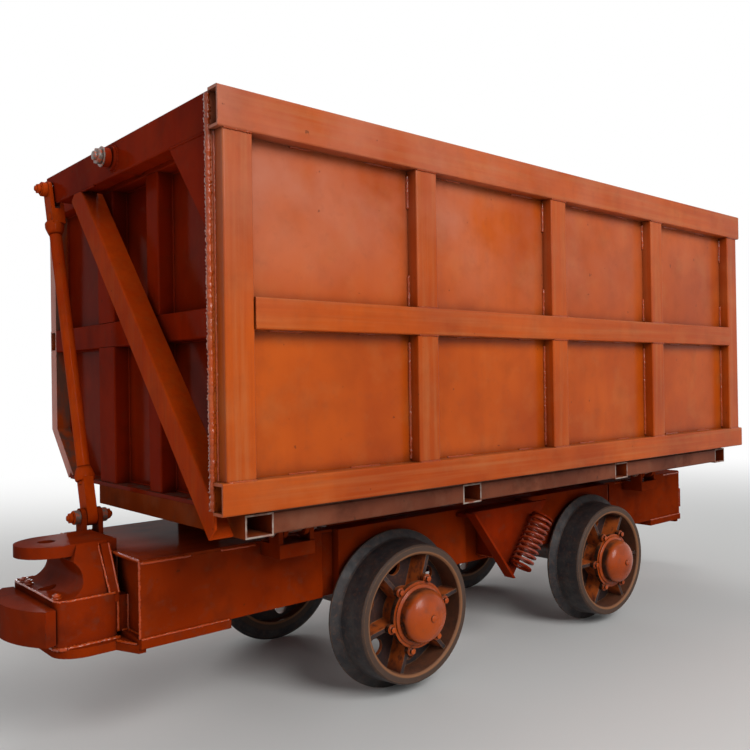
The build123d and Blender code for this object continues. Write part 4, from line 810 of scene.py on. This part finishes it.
# what the head's rounded corner of 24 mm takes off both sides at its middle
CORNER = 24 * (1 - math.sqrt(0.5))
FOOT = round_the_head(((1331, 188), (1466, 188), (1490 - CORNER, 188 - CORNER), (1490, 164)))
FOOT_SPREAD = 1.006
LIP = round_the_head(((1340, 186), (1466, 186), (1489 - CORNER, 187 - CORNER), (1488, 164)))
HEAD_RUNS = (
    ((1304, 177, 321), (1320, 177, 321), 4.4),
    ((1331, 178, 322), (1331, 178, 428), 5.0),
    ((1353, 100, 553), (1353, 182, 431), 4.0),
    ((1330, 115, 553), (1330, 184, 428), 3.6),
)
shell = bmesh.new()
for end in BOTH:
    weld_path(shell, [(end * x, y * FOOT_SPREAD, 307.5) for x, y in FOOT], 6.6)
    for side in BOTH:
        weld_table(shell, HEAD_RUNS, end, side)
    weld_path(shell, [(end * x, y, 429.5) for x, y in LIP], 3.8)
finish_piece("coupler_welds", shell, "chassis", weld_enamel)

# Screws that hold the bearing caps, one at each ear, with the ring's step and the grease plug
EARS, EARS_R = 6, 112
STEP_PROFILE = ((83, -1), (95, -1), (95, 3), (92, 5), (86, 6), (83, 9), (83, -1))
PLUG_PROFILE = ((0, 52.5), (11, 52.3), (11, 57), (9.5, 58.6), (0, 58.6))
cap_screw = hex_stock(17, 9, 12)
for axle, axle_x, first_ear in (("front", -AXLE_X, 12), ("rear", AXLE_X, 0)):
    shell = bmesh.new()
    for side in BOTH:
        for i in range(EARS):
            turn = math.radians(first_ear + 360 / EARS * i)
            at = (axle_x + EARS_R * math.cos(turn), side * 483.5, AXLE_Z + EARS_R * math.sin(turn))
            lay(shell, cap_screw, facing(at, (0, side, 0), chance.uniform(0, 1)))
        lay(shell, turned(STEP_PROFILE, (axle_x, side * 484, AXLE_Z), (0, side, 0), 48))
        lay(shell, turned(PLUG_PROFILE, (axle_x, side * 500, AXLE_Z), (0, side, 0), 20))
    finish_piece("cap_screws_" + axle, shell, "wheelset_" + axle, cap_enamel)

# Nuts of the arm pivots, rod feet and rod forks
pivot_nut = hex_stock(44, 14, 30, stud=8)
pin_nut = hex_stock(30, 11, 21, stud=6)
shell = bmesh.new()
for end in BOTH:
    lay(shell, pivot_nut, facing((end * 1297, PIVOT_Y, PIVOT_Z), (end, 0, 0), 0.3))
finish_piece("pivot_nuts", shell, "box", pin_steel)
shell = bmesh.new()
for end in BOTH:
    lay(shell, pin_nut, facing((end * ROD_X + 47, ROD_FOOT_Y, ROD_FOOT_Z), (1, 0, 0), 0.2))
    lay(shell, pin_nut, facing((end * ROD_X - 47, ROD_FOOT_Y, ROD_FOOT_Z), (-1, 0, 0), 0.7))
finish_piece("rod_foot_nuts", shell, "chassis", strut_enamel)

# Forged sockets that neck each rod's flat eye and fork down to the round rod
SOCKET_PROFILE = ((19.5, 0), (27, 0), (29, 4), (29, 18), (24, 34), (19.5, 46), (19.5, 0))
for place, end in (("front", -1), ("rear", 1)):
    shell = bmesh.new()
    foot = Vector((end * ROD_X, ROD_FOOT_Y, ROD_FOOT_Z))
    head = Vector((end * ROD_X, FORK_Y, FORK_Z))
    run = (head - foot).normalized()
    for outer in BOTH:
        lay(shell, pin_nut, facing((end * FORK_X + outer * 36.5, FORK_Y, FORK_Z), (outer, 0, 0), 0.4))
    lay(shell, turned(SOCKET_PROFILE, foot + run * 112, run, 24))
    lay(shell, turned(SOCKET_PROFILE, head - run * 122, -run, 24))
    finish_piece("rod_sockets_" + place, shell, "rod_" + place, strut_enamel)

# Bolts on the lower jaws, nuts of the hinge pins, and the roller's fittings
jaw_bolt = hex_stock(19, 8, 13, stud=3)
shell = bmesh.new()
for end in BOTH:
    for y in (-138, 138, 96):
        lay(shell, jaw_bolt, facing((end * 1474, y, 430), (0, 0, 1), chance.uniform(0, 1)))
finish_piece("jaw_bolts", shell, "chassis", weld_enamel)

shell = bmesh.new()
for x in HINGES_X:
    for side in BOTH:
        lay(shell, pin_nut, facing((x + side * 66, HINGE_Y, HINGE_Z), (side, 0, 0), 0.5))
finish_piece("hinge_pin_nuts", shell, "chassis", pin_steel)

hanger_bolt = hex_stock(24, 10, 17, stud=4)
shell = bmesh.new()
for x in (-80, 80):
    for z in (600, 645):
        lay(shell, hanger_bolt, facing((x, 616, z), (0, 1, 0), chance.uniform(0, 1)))
finish_piece("hanger_bolts", shell, "box", pin_steel)

BOSS_PROFILE = ((30, -3), (44, -3), (46, 0), (46, 3), (30, 3), (30, -3))
shell = bmesh.new()
for face_y, side in ((622, -1), (686, 1)):
    lay(shell, turned(BOSS_PROFILE, (0, face_y, ROLLER_Z), (0, side, 0), 32))
finish_piece("roller_bosses", shell, "roller", bearing_steel)


# Floor, light and background
def for_the_eye(tree):
    """1 for rays from the camera, and for those that metal or glass throws back to it."""
    path = put(tree, "ShaderNodeLightPath")
    seen = path.outputs["Is Camera Ray"]
    for ray in ("Is Glossy Ray", "Is Transmission Ray"):
        seen = put(tree, "ShaderNodeMath", {0: seen, 1: path.outputs[ray]}, operation="MAXIMUM").outputs[0]
    return seen


def pale_stage():
    """Pale matt floor, 120 m across, which the eye can't tell from the white background far away."""
    shell = bmesh.new()
    bmesh.ops.create_grid(shell, x_segments=1, y_segments=1, size=60.0)
    mesh = bpy.data.meshes.new("floor")
    shell.to_mesh(mesh)
    shell.free()
    floor = bpy.data.objects.new("floor", mesh)
    bpy.context.scene.collection.objects.link(floor)
    material, tree, shader = start_material("pale matt floor", 0.9, 0.1)
    shader.inputs["Base Color"].default_value = linear("#D2D2D0")
    # from 2 m to 7.5 m away it glows white, for the eye alone
    spot = put(tree, "ShaderNodeTexCoord").outputs["Object"]
    away = put(tree, "ShaderNodeVectorMath", {0: spot}, operation="LENGTH").outputs["Value"]
    far = put(
        tree,
        "ShaderNodeMapRange",
        {"Value": away, "From Min": 2.0, "From Max": 7.5},
        interpolation_type="SMOOTHSTEP",
    ).outputs["Result"]
    seen_far = put(tree, "ShaderNodeMath", {0: far, 1: for_the_eye(tree)}, operation="MULTIPLY").outputs[0]
    glow = put(tree, "ShaderNodeEmission", {"Color": (1.0, 1.0, 1.0, 1.0), "Strength": 1.0})
    blend = put(
        tree, "ShaderNodeMixShader", {0: seen_far, 1: shader.outputs["BSDF"], 2: glow.outputs["Emission"]}
    )
    tree.links.new(blend.outputs["Shader"], tree.get_output_node("ALL").inputs["Surface"])
    mesh.materials.append(material)
    floor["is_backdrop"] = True


def studio_light():
    """White background with a dim light of its own, and four round lamps."""
    world = bpy.data.worlds.new("soft studio")
    bpy.context.scene.world = world
    world.use_nodes = True
    tree = world.node_tree
    tree.nodes.clear()
    dim = put(tree, "ShaderNodeBackground", {"Color": (0.95, 0.97, 1.0, 1.0), "Strength": 0.30})
    white = put(tree, "ShaderNodeBackground", {"Color": (1.0, 1.0, 1.0, 1.0), "Strength": 1.0})
    mix = put(tree, "ShaderNodeMixShader", {0: for_the_eye(tree), 1: dim.outputs[0], 2: white.outputs[0]})
    put(tree, "ShaderNodeOutputWorld", {"Surface": mix.outputs[0]})
    # name, place, aim, width in metres and power in watts
    for name, at, aim, size, power in (
        ("key", (-0.9, -6.2, 4.2), (-0.2, -0.4, 0.8), 4.0, 360),
        ("fill", (-5.5, -2.0, 3.2), (-0.8, 0.0, 0.7), 4.0, 22),
        ("top", (0.0, 1.5, 6.0), (0.0, 0.0, 0.8), 4.5, 90),
        ("back", (2.5, 6.5, 2.6), (0.2, 0.4, 0.7), 4.0, 190),
    ):
        lamp = bpy.data.lights.new(name, "AREA")
        lamp.shape = "DISK"
        lamp.size = size
        lamp.energy = power
        holder = bpy.data.objects.new(name, lamp)
        bpy.context.scene.collection.objects.link(holder)
        aimed = (Vector(at) - Vector(aim)).to_track_quat("Z", "Y").to_matrix().to_4x4()
        holder.matrix_world = Matrix.Translation(at) @ aimed


pale_stage()
studio_light()

low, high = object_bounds()
